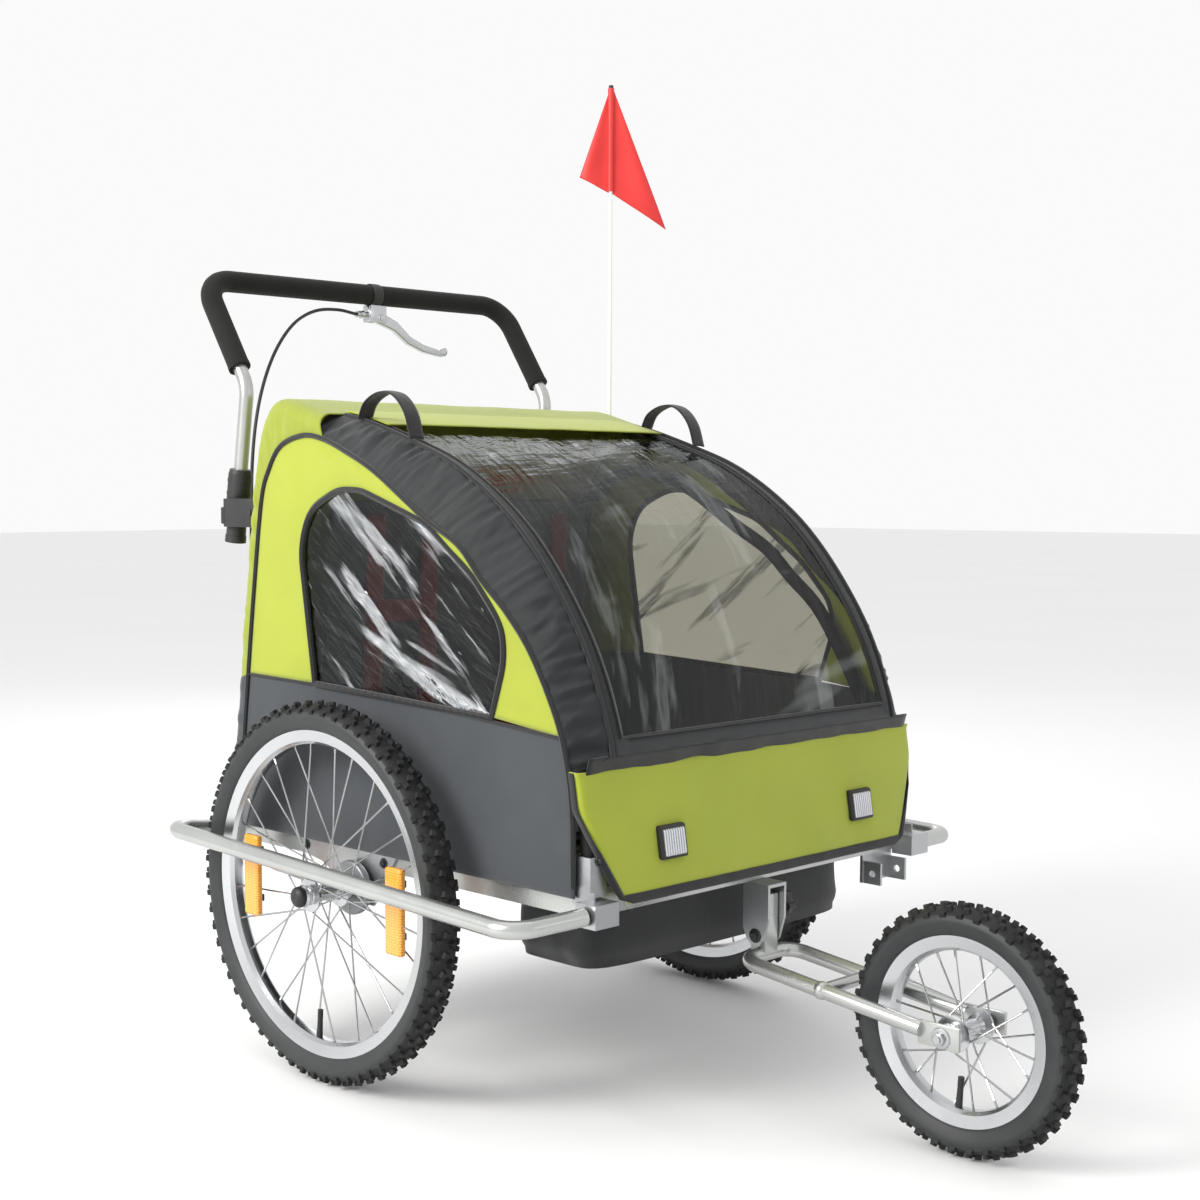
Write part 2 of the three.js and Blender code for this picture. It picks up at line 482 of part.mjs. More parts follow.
const knobHead = Array.from({ length: 24 }, (_, k) => {
  const angle = (k / 24) * 2 * Math.PI;
  const reach = 20 + 2.5 * Math.cos(6 * angle);
  return [PIVOT.y + reach * Math.cos(angle), 242 + reach * Math.sin(angle)];
});
add('arm_clamp_knob', join(sidePlate(knobHead, 24, 42), rod('x', 4, 13.6, 30, [PIVOT.y, 242])), plastic);

export default trailer;
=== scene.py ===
import math

import bmesh
import bpy
from mathutils import Matrix, Vector, noise


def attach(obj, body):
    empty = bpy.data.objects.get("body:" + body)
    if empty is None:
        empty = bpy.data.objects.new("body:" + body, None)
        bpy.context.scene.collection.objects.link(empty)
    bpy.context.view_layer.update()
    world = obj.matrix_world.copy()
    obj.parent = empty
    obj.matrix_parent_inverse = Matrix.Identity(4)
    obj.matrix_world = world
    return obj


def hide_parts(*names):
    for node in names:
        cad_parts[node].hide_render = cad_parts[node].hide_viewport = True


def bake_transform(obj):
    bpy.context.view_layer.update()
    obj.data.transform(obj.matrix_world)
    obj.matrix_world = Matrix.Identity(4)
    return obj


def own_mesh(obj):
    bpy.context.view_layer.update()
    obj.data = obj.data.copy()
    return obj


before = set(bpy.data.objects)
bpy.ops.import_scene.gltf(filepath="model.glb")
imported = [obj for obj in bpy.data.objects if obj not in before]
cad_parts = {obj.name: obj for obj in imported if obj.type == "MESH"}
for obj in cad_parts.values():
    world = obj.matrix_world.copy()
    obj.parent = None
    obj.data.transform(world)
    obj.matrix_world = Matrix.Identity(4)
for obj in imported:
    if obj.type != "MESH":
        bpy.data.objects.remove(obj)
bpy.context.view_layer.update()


# ---- Camera, studio light and floor ----
# The trailer stands on a seamless pale floor. One big soft light stands off its right side, one hangs
# over it, and a weak one fills the front.

AXLE_LINE = 0.23625


def at(x, y, z):
    """A point in millimetres from the road wheels' axle line, as metres in the shared frame."""
    return Vector((x / 1000, y / 1000 + AXLE_LINE, z / 1000))


TURN = math.radians(-43.34)
DOWN = math.radians(4.99)

camera_data = bpy.data.cameras.new("camera")
camera_data.lens = 54.46
camera_data.sensor_width = 36
camera_data.shift_x = 0.0737
camera_data.shift_y = 0.0421
camera_data.clip_end = 60
camera = bpy.data.objects.new("camera", camera_data)
camera.location = at(-1787.3, -1851.7, 767.0)
camera.rotation_euler = (math.pi / 2 - DOWN, 0, TURN)
bpy.context.collection.objects.link(camera)
bpy.context.scene.camera = camera


def area_light(name, place, aim, size, power, colour):
    data = bpy.data.lights.new(name, "AREA")
    data.shape = "RECTANGLE"
    data.size, data.size_y = size
    data.energy = power
    data.color = colour
    light = bpy.data.objects.new(name, data)
    light.location = place
    light.rotation_euler = (Vector(aim) - Vector(place)).to_track_quat("-Z", "Y").to_euler()
    bpy.context.collection.objects.link(light)


area_light("key", (-3.4, 0.9, 2.3), (0, 0.1, 0.5), (1.6, 2.2), 150, (1, 0.99, 0.96))
area_light("top", (0.2, 0.6, 3.6), (0, 0, 0.4), (2.8, 2.8), 12, (1, 1, 1))
area_light("fill", (0.9, -4.2, 1.5), (0, 0, 0.5), (2.2, 1.4), 5, (0.96, 0.98, 1))
area_light("back", (2.6, 3.2, 2.2), (0, 0.2, 0.6), (1.8, 1.8), 14, (1, 1, 1))

world = bpy.data.worlds.new("studio")
world.use_nodes = True
world.node_tree.nodes["Background"].inputs["Color"].default_value = (1, 1, 1, 1)
world.node_tree.nodes["Background"].inputs["Strength"].default_value = 0.96
bpy.context.scene.world = world
bpy.context.scene.view_settings.view_transform = "Standard"

sweep = bmesh.new()
bmesh.ops.create_grid(sweep, x_segments=1, y_segments=1, size=30)
floor_mesh = bpy.data.meshes.new("studio_floor")
sweep.to_mesh(floor_mesh)
sweep.free()
floor = bpy.data.objects.new("studio_floor", floor_mesh)
bpy.context.collection.objects.link(floor)


# ---- Base frame: rails, crossbars, axles and plates ----
# Square aluminium tube, cut and welded into a ladder, with a satin silver powder coat. The plates under
# it are zinc-plated steel, bolted on. These pieces keep their CAD shapes.


class Value:
    """A socket that adds up like a number: each operator adds one Math node."""

    def __init__(self, finish, socket):
        self.finish = finish
        self.socket = socket

    def math(self, operation, *values):
        return self.finish.node("Math", {"operation": operation}, dict(enumerate(values)))

    def __add__(self, other):
        return self.math("ADD", self, other)

    def __radd__(self, other):
        return self.math("ADD", other, self)

    def __sub__(self, other):
        return self.math("SUBTRACT", self, other)

    def __rsub__(self, other):
        return self.math("SUBTRACT", other, self)

    def __mul__(self, other):
        return self.math("MULTIPLY", self, other)

    def __rmul__(self, other):
        return self.math("MULTIPLY", other, self)

    def __truediv__(self, other):
        return self.math("DIVIDE", self, other)

    def __rtruediv__(self, other):
        return self.math("DIVIDE", other, self)

    def __pow__(self, other):
        return self.math("POWER", self, other)

    def sine(self):
        return self.math("SINE", self)

    def size(self):
        return self.math("ABSOLUTE", self)

    def clamped(self):
        return self.math("MAXIMUM", self.math("MINIMUM", self, 1.0), 0.0)


class Finish:
    """A material with one Principled shader, whose fixed values are set on its own sockets."""

    def __init__(self, name, **fixed):
        self.material = bpy.data.materials.new(name)
        self.material.use_nodes = True
        self.tree = self.material.node_tree
        self.shader = self.tree.nodes["Principled BSDF"]
        for socket, value in fixed.items():
            self.shader.inputs[socket.replace("_", " ")].default_value = value

    def plug(self, socket, value):
        if isinstance(value, Value):
            self.tree.links.new(value.socket, socket)
        elif isinstance(value, tuple) and len(value) == 3 and len(socket.default_value) == 4:
            socket.default_value = (*value, 1)
        else:
            socket.default_value = value

    def node(self, kind, settings, inputs, out=0):
        node = self.tree.nodes.new("ShaderNode" + kind)
        for name, value in settings.items():
            if name == "stops":
                ramp = node.color_ramp.elements
                while len(ramp) < len(value):
                    ramp.new(0.5)
                for element, (position, colour) in zip(ramp, value):
                    element.position = position
                    element.color = (*colour, 1) if isinstance(colour, tuple) else (colour, colour, colour, 1)
            else:
                setattr(node, name, value)
        for key, value in inputs.items():
            self.plug(node.inputs[key], value)
        return Value(self, node.outputs[out])

    def coords(self, output="Object"):
        return self.node("TexCoord", {}, {}, output)

    def noise(self, scale, detail=3, rough=0.5, where=None):
        where = where or self.coords()
        values = {"Vector": where, "Scale": scale, "Detail": detail, "Roughness": rough}
        return self.node("TexNoise", {}, values)

    def axis(self, name, where=None):
        return self.node("SeparateXYZ", {}, {0: where or self.coords()}, name)

    def stretched(self, scale, turn=(0, 0, 0), where=None):
        values = {"Vector": where or self.coords(), "Scale": scale, "Rotation": turn}
        return self.node("Mapping", {}, values)

    def ramp(self, value, *stops):
        return self.node("ValToRGB", {"stops": stops}, {0: value})

    def mix(self, share, first, second):
        return self.node("Mix", {"data_type": "RGBA"}, {0: share, 6: first, 7: second}, 2)

    def looks(self, **inputs):
        for socket, value in inputs.items():
            self.plug(self.shader.inputs[socket.replace("_", " ")], value)

    def bump(self, height, distance, strength=1.0, under=None):
        values = {"Strength": strength, "Distance": distance, "Height": height}
        if under:
            values["Normal"] = under
        return self.node("Bump", {}, values)


def metal_finish(name, colour, dark, rough, metallic, grain):
    finish = Finish(name, Metallic=metallic)
    cloud = finish.noise(9, 4)
    speck = finish.noise(grain, 2)
    scuff = finish.ramp(finish.noise(38, 8, 0.7), (0.58, 0.0), (0.72, 1.0))
    tone = (cloud * 0.6 + speck * 0.4).clamped()
    finish.looks(Base_Color=finish.mix(tone, dark, colour))
    finish.looks(Roughness=(rough - 0.08) + 0.12 * cloud + 0.14 * finish.node("RGBToBW", {}, {0: scuff}))
    finish.looks(Normal=finish.bump(speck * 0.5 + cloud * 0.5, 0.0004, 0.25))
    return finish


steel = metal_finish("satin_silver_coat", (0.58, 0.59, 0.575), (0.38, 0.39, 0.38), 0.30, 0.82, 900)
zinc = metal_finish("zinc_plate", (0.56, 0.57, 0.58), (0.33, 0.34, 0.355), 0.36, 0.92, 300)
grey_cast = metal_finish("grey_clamp", (0.36, 0.37, 0.38), (0.20, 0.21, 0.22), 0.45, 0.5, 500)

pale = Finish("pale_floor", Roughness=0.6, Specular_IOR_Level=0.2)
pale.looks(Base_Color=pale.mix(pale.noise(0.8, 2), (0.83, 0.83, 0.84), (0.87, 0.87, 0.87)))
floor_mesh.materials.append(pale.material)


def dress(node, finish):
    """Gives a CAD node's own mesh a finish; its shape stays."""
    for slot in bpy.data.objects[node].material_slots:
        slot.material = finish.material


for bar in ("front_crossbar", "axle_crossbar", "rear_crossbar", "right_side_rail", "left_side_rail"):
    dress(bar, steel)
for plate in ("right_axle_plate", "left_axle_plate", "right_front_bracket", "left_front_bracket",
              "right_rear_bracket", "left_rear_bracket", "hitch_bracket", "front_clevis"):
    dress(plate, zinc)


# ---- Wheel guards and side frames ----
# Round aluminium tube, bent cold and coated silver. A guard runs outside each road wheel, flattened and
# bolted at both ends. The side frames, an upright and a hoop each, stand on pins and carry the cabin.


def finished(name, bm, finish, slot, body, *replaced, flat_over=38):
    """Makes a piece of a bmesh, smooth except at its creases, and lets it ride on its body."""
    mesh = bpy.data.meshes.new(name)
    bm.normal_update()
    bm.to_mesh(mesh)
    bm.free()
    mesh.materials.append(finish.material)
    mesh.shade_smooth()
    mesh.set_sharp_from_angle(angle=math.radians(flat_over))
    piece = bpy.data.objects.new(name, mesh)
    bpy.context.collection.objects.link(piece)
    if body:
        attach(piece, body)
    if replaced:
        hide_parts(*replaced)
    return piece


def rounded(corners, bend, steps=9):
    """The corner points with an arc of the bend radius in place of each inner corner."""
    stops = [corners[0]]
    for before, here, after in zip(corners, corners[1:], corners[2:]):
        toward = (before - here).normalized()
        away = (after - here).normalized()
        half = toward.angle(away) / 2
        radius = min(bend, 0.48 * min((before - here).length, (after - here).length) * math.tan(half))
        centre = here + (toward + away).normalized() * (radius / math.sin(half))
        first = here + toward * (radius / math.tan(half)) - centre
        last = here + away * (radius / math.tan(half)) - centre
        sweep_angle = first.angle(last)
        for k in range(steps + 1):
            share = k / steps
            out = first * math.sin((1 - share) * sweep_angle) + last * math.sin(share * sweep_angle)
            stops.append(centre + out / math.sin(sweep_angle))
    return stops + [corners[-1]]


def flowing(points, steps=8):
    """Points along one smooth curve that passes every given point."""
    ends = [points[0] * 2 - points[1], *points, points[-1] * 2 - points[-2]]
    stops = []
    for a, b, c, d in zip(ends, ends[1:], ends[2:], ends[3:]):
        for k in range(steps):
            t = k / steps
            stops.append(0.5 * (2 * b + (c - a) * t + (2 * a - 5 * b + 4 * c - d) * t * t
                                + (3 * b - a - 3 * c + d) * t ** 3))
    return stops + [points[-1]]


def swept(stops, radius, sides=16, radii=None):
    """A closed round bar along the stops."""
    curve = bpy.data.curves.new("sweep", "CURVE")
    curve.dimensions = "3D"
    spline = curve.splines.new("POLY")
    spline.points.add(len(stops) - 1)
    for i, (point, stop) in enumerate(zip(spline.points, stops)):
        point.co = (*stop, 1)
        point.radius = radii[i] if radii else 1
    curve.bevel_depth = radius
    curve.bevel_resolution = max(sides // 4 - 1, 0)
    curve.use_fill_caps = True
    carrier = bpy.data.objects.new("sweep", curve)
    bpy.context.collection.objects.link(carrier)
    mesh = bpy.data.meshes.new_from_object(carrier.evaluated_get(bpy.context.evaluated_depsgraph_get()))
    bpy.data.objects.remove(carrier)
    bpy.data.curves.remove(curve)
    bm = bmesh.new()
    bm.from_mesh(mesh)
    bpy.data.meshes.remove(mesh)
    bmesh.ops.remove_doubles(bm, verts=bm.verts, dist=1e-6)
    bmesh.ops.recalc_face_normals(bm, faces=bm.faces)
    return bm


def bolt(bm, place, axis, radius, height, sides=6):
    """A bolt head with a chamfered top and a washer, standing out along an axis."""
    turn = Vector((0, 0, 1)).rotation_difference(Vector(axis)).to_matrix().to_4x4()
    for wide, tall, corners in ((radius * 1.5, height * 0.25, 20), (radius, height, sides)):
        lift = Matrix.Translation(Vector(place) + Vector(axis).normalized() * (tall / 2)) @ turn
        made = bmesh.ops.create_cone(bm, cap_ends=True, segments=corners, radius1=wide, radius2=wide * 0.92,
                                     depth=tall, matrix=lift)
        edges = {e for v in made["verts"] for e in v.link_edges if len(e.link_faces) == 2}
        bmesh.ops.bevel(bm, geom=list(edges), offset=tall * 0.12, segments=2, profile=0.5,
                        affect="EDGES", material=-1)


def rounded_box(bm, low, high, edge, segments=2):
    """A box between two corners in metres, with all its edges rounded."""
    size = Vector(high) - Vector(low)
    place = Matrix.Translation((Vector(low) + Vector(high)) / 2) @ Matrix.Diagonal((*size, 1))
    made = bmesh.ops.create_cube(bm, size=1, matrix=place)
    edges = {e for v in made["verts"] for e in v.link_edges}
    return bmesh.ops.bevel(bm, geom=list(edges), offset=edge, segments=segments, profile=0.5,
                           affect="EDGES", material=-1)


SIDES = (("right", -1), ("left", 1))
dark_bolt = metal_finish("blackened_bolt", (0.07, 0.07, 0.075), (0.03, 0.03, 0.03), 0.42, 0.7, 700)

for word, side in SIDES:
    corners = [at(side * x, y, z) for x, y, z in
               ((333, -431, 285), (429, -412, 279), (419, 300, 301), (316, 293, 289))]
    finished(f"{word}_guard_tube", swept(rounded(corners, 0.036, 12), 0.011, 20), steel, "steel_tube",
             "root", f"{word}_wheel_guard")

    bolts = bmesh.new()
    bolt(bolts, at(side * 316, -424, 285), (side, 0, 0), 0.005, 0.005)
    bolt(bolts, at(side * 330, -431, 285), (side, 0, 0), 0.005, 0.004)
    for y, z in ((-52, 288), (112, 290), (-20, 240), (20, 240)):
        bolt(bolts, at(side * 316.6, y, z), (side, 0, 0), 0.0048, 0.004)
    bolt(bolts, at(side * 302, -424.5 if side < 0 else -399.5, 345), (0, -1, 0), 0.0045, 0.0045)
    bolt(bolts, at(side * 302, 291 if side < 0 else 266, 345), (0, 1, 0), 0.0045, 0.0045)
    finished(f"{word}_frame_bolts", bolts, dark_bolt, "black_plastic", "root")

HOOP_LINE = [(-410, 345), (-401, 400), (-386, 462), (-362, 511), (-321, 580), (-285, 627), (-241, 664),
             (-195, 705), (-132, 740), (-44, 793), (23, 816), (68, 824), (110, 822), (150, 805), (180, 782)]
REAR_EDGE = [(297, 312), (293, 371), (282, 415), (268, 502), (245, 672), (218, 824), (196, 879), (162, 893),
             (74, 870)]


def offset(outline, distance):
    """Moves an open side outline over: to +Y where it runs up, and up where it runs to -Y."""
    moved = []
    for i, (y, z) in enumerate(outline):
        y0, z0 = outline[max(i - 1, 0)]
        y1, z1 = outline[min(i + 1, len(outline) - 1)]
        length = math.hypot(y1 - y0, z1 - z0)
        moved.append((y + distance * (z1 - z0) / length, z - distance * (y1 - y0) / length))
    return moved


tube_sleeve = Finish("black_tube_sleeve", Roughness=0.7, Specular_IOR_Level=0.2)
tube_sleeve.looks(Base_Color=tube_sleeve.mix(tube_sleeve.noise(60, 4), (0.008, 0.008, 0.009),
                                             (0.02, 0.02, 0.021)),
                  Normal=tube_sleeve.bump(tube_sleeve.noise(320, 3), 0.0006, 0.5))
NEST = 25
for word, side in SIDES:
    nest = 0 if side < 0 else NEST
    rear = 275 - nest
    line = offset(offset(REAR_EDGE[1:7], -20), -nest)
    upright = [at(side * 302, rear, 340)] + [at(side * 302, y, z) for y, z in line]
    weld = upright[4].lerp(upright[5], 0.65)
    if side > 0:
        upright = upright[:5] + [upright[4].lerp(upright[5], 0.71)]
    finished(f"{word}_upright_tube", swept(rounded(upright, 0.06), 0.0095, 16), tube_sleeve, "black_fabric",
             f"{word}_side_frame", f"{word}_upright")
    hoop = [at(side * 302, y, z) for y, z in offset(HOOP_LINE, nest)[1:]]
    hoop = [at(side * 302, HOOP_LINE[0][0] + nest, 340), *hoop, weld]
    finished(f"{word}_hoop_tube", swept(flowing(hoop, 4), 0.0095, 16), tube_sleeve, "black_fabric",
             f"{word}_side_frame", f"{word}_hoop")


# ---- Road wheels and front wheel ----
# Each wheel has a knobbed rubber tyre on a polished alloy rim, crossed steel spokes on a flanged hub, and
# two amber reflectors clipped upright between its spokes. The front wheel is the small one, with none.

rubber = Finish("tyre_rubber", Specular_IOR_Level=0.35)
dust = rubber.noise(28, 6, 0.6)
rubber.looks(Base_Color=rubber.mix(rubber.ramp(dust, (0.45, 0.0), (0.8, 1.0)), (0.010, 0.0105, 0.011),
                                   (0.034, 0.034, 0.033)),
             Roughness=0.55 + 0.25 * dust,
             Normal=rubber.bump(rubber.noise(1400, 2), 0.0003, 0.35))
sidewall = Finish("tyre_sidewall", Specular_IOR_Level=0.4)
cloud = sidewall.noise(22, 5, 0.6)
sidewall.looks(Base_Color=sidewall.mix(cloud, (0.014, 0.015, 0.016), (0.040, 0.042, 0.044)),
               Roughness=0.42 + 0.2 * cloud,
               Normal=sidewall.bump(sidewall.noise(900, 2), 0.0003, 0.3))
alloy = metal_finish("polished_alloy", (0.62, 0.63, 0.645), (0.44, 0.45, 0.46), 0.24, 1.0, 1200)
spoke_steel = metal_finish("spoke_steel", (0.52, 0.525, 0.53), (0.36, 0.365, 0.37), 0.26, 1.0, 1500)
moulded = Finish("moulded_plastic", Specular_IOR_Level=0.4)
grain = moulded.noise(1100, 2)
moulded.looks(Base_Color=moulded.mix(moulded.noise(30, 4), (0.012, 0.012, 0.013), (0.03, 0.03, 0.031)),
              Roughness=0.38 + 0.2 * grain, Normal=moulded.bump(grain, 0.0002, 0.3))
amber = Finish("amber_reflector", Roughness=0.18, Coat_Weight=0.8, Coat_Roughness=0.05)
prism = amber.axis("Z", amber.stretched((900, 900, 900))).sine() * amber.axis("Y", amber.stretched(
    (900, 900, 900))).sine()
amber.looks(Base_Color=amber.mix(prism.size(), (0.80, 0.26, 0.015), (1.0, 0.50, 0.06)),
            Normal=amber.bump(prism, 0.0006, 0.6))


def turned(bm, profile, centre, steps):
    """Spins a closed profile of (radius, x) points in millimetres about a wheel's axle."""
    ring = [bm.verts.new(centre + Vector((x, 0, r)) / 1000) for r, x in profile]
    edges = [bm.edges.new(pair) for pair in zip(ring, ring[1:] + ring[:1])]
    bmesh.ops.spin(bm, geom=ring + edges, cent=centre, axis=(1, 0, 0), angle=2 * math.pi, steps=steps,
                   use_merge=True)
    bmesh.ops.remove_doubles(bm, verts=bm.verts, dist=1e-6)
    bmesh.ops.recalc_face_normals(bm, faces=bm.faces)


def round_bar(bm, start, end, radius, sides=6, tip=None):
    """A straight bar between two points."""
    run = end - start
    turn = Vector((0, 0, 1)).rotation_difference(run).to_matrix().to_4x4()
    bmesh.ops.create_cone(bm, cap_ends=True, segments=sides, radius1=radius, radius2=tip or radius,
                          depth=run.length, matrix=Matrix.Translation((start + end) / 2) @ turn)


def round_profile(points, steps=3):
    """A closed (radius, x) profile with each corner cut round."""
    soft = []
    for i, here in enumerate(points):
        before, after = Vector(points[i - 1]), Vector(points[(i + 1) % len(points)])
        for k in range(steps + 1):
            t = k / steps
            first = Vector(here).lerp(before, 0.28 * (1 - t))
            last = Vector(here).lerp(after, 0.28 * t)
            soft.append(tuple(first.lerp(last, t)))
    return soft


def knob(bm, centre, angle, radius, x, size, skew, tall):
    """One tread block: a cube with a narrower crown, standing on the casing."""
    made = bmesh.ops.create_cube(bm, size=1)["verts"]
    for vert in made:
        taper = 0.78 if vert.co.z > 0 else 1.0
        vert.co = Vector((vert.co.x * size[0] * taper, vert.co.y * size[1] * taper, vert.co.z * tall)) / 1000
    lean = Matrix.Rotation(math.radians(x * 1.55), 4, "Y") @ Matrix.Rotation(math.radians(skew), 4, "Z")
    drop = Matrix.Translation((x / 1000, 0, radius / 1000))
    place = Matrix.Translation(centre) @ Matrix.Rotation(angle, 4, "X") @ drop @ lean
    bmesh.ops.transform(bm, matrix=place, verts=made)


def wheel(word, centre, outer, bead, half, count, flange, hub_half, turns, repeats):
    """Tyre, rim, hub, spokes and valve, all riding on the wheel's body."""
    body = f"{word}_wheel"
    steps = 96
    crown = outer - 5.5
    tread = bmesh.new()
    casing = [(bead + 1, -half * 0.5), (bead + 6, -half * 0.74), (bead + 16, -half * 0.92),
              (crown - 14, -half * 0.97), (crown - 6, -half * 0.80), (crown - 1.4, -half * 0.45), (crown, 0),
              (crown - 1.4, half * 0.45), (crown - 6, half * 0.80), (crown - 14, half * 0.97),
              (bead + 16, half * 0.92), (bead + 6, half * 0.74), (bead + 1, half * 0.5)]
    turned(tread, round_profile(casing, 2), centre, steps)
    for face in tread.faces:
        away = face.calc_center_median() - centre
        if math.hypot(away.y, away.z) < (crown - 9) / 1000:
            face.material_index = 1
    for k in range(repeats):
        angle = 2 * math.pi * k / repeats
        step = 2 * math.pi / repeats
        wide = half / 23.5
        for flip in (-1, 1):
            shift = 0 if flip < 0 else step / 2
            knob(tread, centre, angle + shift, outer - 3.4, flip * 5.2 * wide, (8 * wide, 8.4), flip * 24, 6)
            knob(tread, centre, angle + shift + step * 0.3, outer - 6.6, flip * 13.5 * wide, (7 * wide, 7.4),
                 flip * -12, 6.5)
            knob(tread, centre, angle + shift + step * 0.05, outer - 13.2, flip * 19.6 * wide, (6 * wide, 9),
                 0,
                 6.5)
    tyre = finished(f"{word}_tyre_and_tread", tread, rubber, "tyre", body, f"{word}_tyre", flat_over=32)
    tyre.data.materials.append(sidewall.material)

    metal = bmesh.new()
    rim = [(bead - 1, -13.5), (bead + 3.5, -14.5), (bead + 3.5, -12.5), (bead - 3, -11.5), (bead - 3, 11.5),
           (bead + 3.5, 12.5), (bead + 3.5, 14.5), (bead - 1, 13.5), (bead - 11, 11), (bead - 15, 6),
           (bead - 16, 0), (bead - 15, -6), (bead - 11, -11)]
    turned(metal, rim, centre, steps)
    finished(f"{word}_rim", metal, alloy, "laced_wheel", body, f"{word}_laced_wheel", flat_over=28)

    hub = bmesh.new()
    shell = [(6.8, -hub_half), (13, -hub_half), (14.5, -hub_half + 3), (12, -flange - 4), (13, -flange - 2.5),
             (22, -flange - 1.5), (22, -flange + 1.5), (13, -flange + 3), (10.5, -flange + 8),
             (10.5, flange - 8), (13, flange - 3), (22, flange - 1.5), (22, flange + 1.5), (13, flange + 2.5),
             (12, flange + 4), (14.5, hub_half - 3), (13, hub_half), (6.8, hub_half)]
    turned(hub, shell, centre, 36)
    finished(f"{word}_hub_shell", hub, alloy, "laced_wheel", body)

    laces = bmesh.new()
    for k in range(count):
        face = 1 if k % 2 else -1
        cross = turns * (1 if k % 4 < 2 else -1)
        angle = 2 * math.pi * (k + 0.5) / count
        lean = angle + cross
        inner = 19.0
        start = centre + Vector((face * (flange + 0.6), inner * math.cos(lean),
                                 inner * math.sin(lean))) / 1000
        end = centre + Vector((face * 2.5, (bead - 13) * math.cos(angle),
                               (bead - 13) * math.sin(angle))) / 1000
        round_bar(laces, start, end, 0.00125)
        inward = (start - end).normalized()
        round_bar(laces, end + inward * -0.004, end + inward * 0.011, 0.0021, 6, 0.0015)
    finished(f"{word}_spokes", laces, spoke_steel, "laced_wheel", body, flat_over=50)

    stem = bmesh.new()
    direction = Vector((0, math.cos(math.radians(-86)), math.sin(math.radians(-86))))
    root = centre + direction * (bead - 14) / 1000
    round_bar(stem, root, root - direction * 0.028, 0.0042, 12, 0.0034)
    round_bar(stem, root - direction * 0.026, root - direction * 0.037, 0.0038, 10)
    finished(f"{word}_valve", stem, moulded, "black_plastic", body)


for word, side in SIDES:
    centre = at(side * 373, 0, 250)
    wheel(word, centre, 250, 209, 23.5, 28, 23.5, 38, 1.05, 62)

    plates = bmesh.new()
    for along in (-150, 150):
        x = side * 379
        low, high = at(x - 5, along - 15.5, 196), at(x + 5, along + 15.5, 306)
        rounded_box(plates, low, high, 0.0035, 3)
    finished(f"{word}_spoke_reflectors", plates, amber, "reflector", f"{word}_wheel")
    clips = bmesh.new()
    for along in (-150, 150):
        for z in (218, 284):
            rounded_box(clips, at(side * 373 - 9, along - 5, z - 5), at(side * 373 + 9, along + 5, z + 5),
                        0.0015)
    finished(f"{word}_reflector_clips", clips, moulded, "black_plastic", f"{word}_wheel")

    cap = bmesh.new()
    turned(cap, round_profile([(0.2, side * 38.4), (14, side * 38.4), (13, side * 45), (8, side * 49),
                               (0.2, side * 50)]), centre, 28)
    finished(f"{word}_hub_cap", cap, moulded, "black_plastic", f"{word}_wheel")
    dress(f"{word}_axle", zinc)

wheel("jogger", at(0, -721, 149), 149, 108, 22.5, 20, 24.8, 40, 0.95, 38)

drum = bmesh.new()
turned(drum, round_profile([(7, -334), (34, -334), (36, -332), (36, -324), (33, -322), (7, -322)]),
       at(0, 0, 250), 48)
finished("brake_drum_cover", drum, grey_cast, "zinc_plate", "root", "brake_drum")


# ---- Jogger arm, clevis bolt and knob ----
# The front wheel runs in a U of round tube with a cross brace, flattened where its axle nuts clamp. A post
# pivots between the clevis ears, and a lobed plastic knob locks it.

arm = swept(rounded([at(-48, -694, 154), at(-48, -428, 184), at(48, -428, 184), at(48, -694, 154)], 0.026,
                    12),
            0.0095, 20)
brace = swept([at(-48, -552, 170), at(48, -552, 170)], 0.008, 16)
joined = bpy.data.meshes.new("joined")
brace.to_mesh(joined)
brace.free()
arm.from_mesh(joined)
for side in (-1, 1):
    rounded_box(arm, at(side * 48 - 2.4, -745, 137), at(side * 48 + 2.4, -690, 165), 0.0012)
rounded_box(arm, at(-13, -437, 180), at(13, -413, 262), 0.002)
for place in (at(-48, -552, 170), at(48, -552, 170)):
    bmesh.ops.create_uvsphere(arm, u_segments=16, v_segments=10, radius=0.0112,
                              matrix=Matrix.Translation(place))
finished("arm_tubes", arm, steel, "steel_tube", "jogger_arm", "jogger_arm")

axle = bmesh.new()
round_bar(axle, at(-60, -721, 149), at(60, -721, 149), 0.0045, 16)
for side in (-1, 1):
    bolt(axle, at(side * 50.6, -721, 149), (side, 0, 0), 0.0085, 0.007)
    round_bar(axle, at(side * 41, -721, 149), at(side * 45.4, -721, 149), 0.0075, 20)
finished("arm_axle_nuts", axle, zinc, "zinc_plate", "jogger_arm", "jogger_axle")

pin = bmesh.new()
round_bar(pin, at(-24, -425, 209), at(24, -425, 209), 0.004, 16)
bolt(pin, at(-18.4, -425, 209), (-1, 0, 0), 0.0062, 0.0052)
bolt(pin, at(18.4, -425, 209), (1, 0, 0), 0.0062, 0.0052)
finished("clevis_bolt", pin, dark_bolt, "zinc_plate", "root", "arm_pivot_bolt")

grip = bmesh.new()
centre = at(0, -425, 242)
turned(grip, round_profile([(0.2, 20), (9, 20), (9, 25), (16, 26), (17, 31), (16, 39), (10, 42), (0.2, 42)]),
       centre, 48)
for k in range(6):
    angle = 2 * math.pi * k / 6
    out = centre + Vector((0, math.cos(angle), math.sin(angle))) * 0.0155
    bmesh.ops.create_cone(grip, cap_ends=True, segments=14, radius1=0.0048, radius2=0.0044, depth=0.014,
                          matrix=Matrix.Translation(out + Vector((0.033, 0, 0)))
                          @ Matrix.Rotation(math.pi / 2, 4, "Y"))
finished("arm_knob", grip, moulded, "black_plastic", "arm_knob", "arm_clamp_knob")


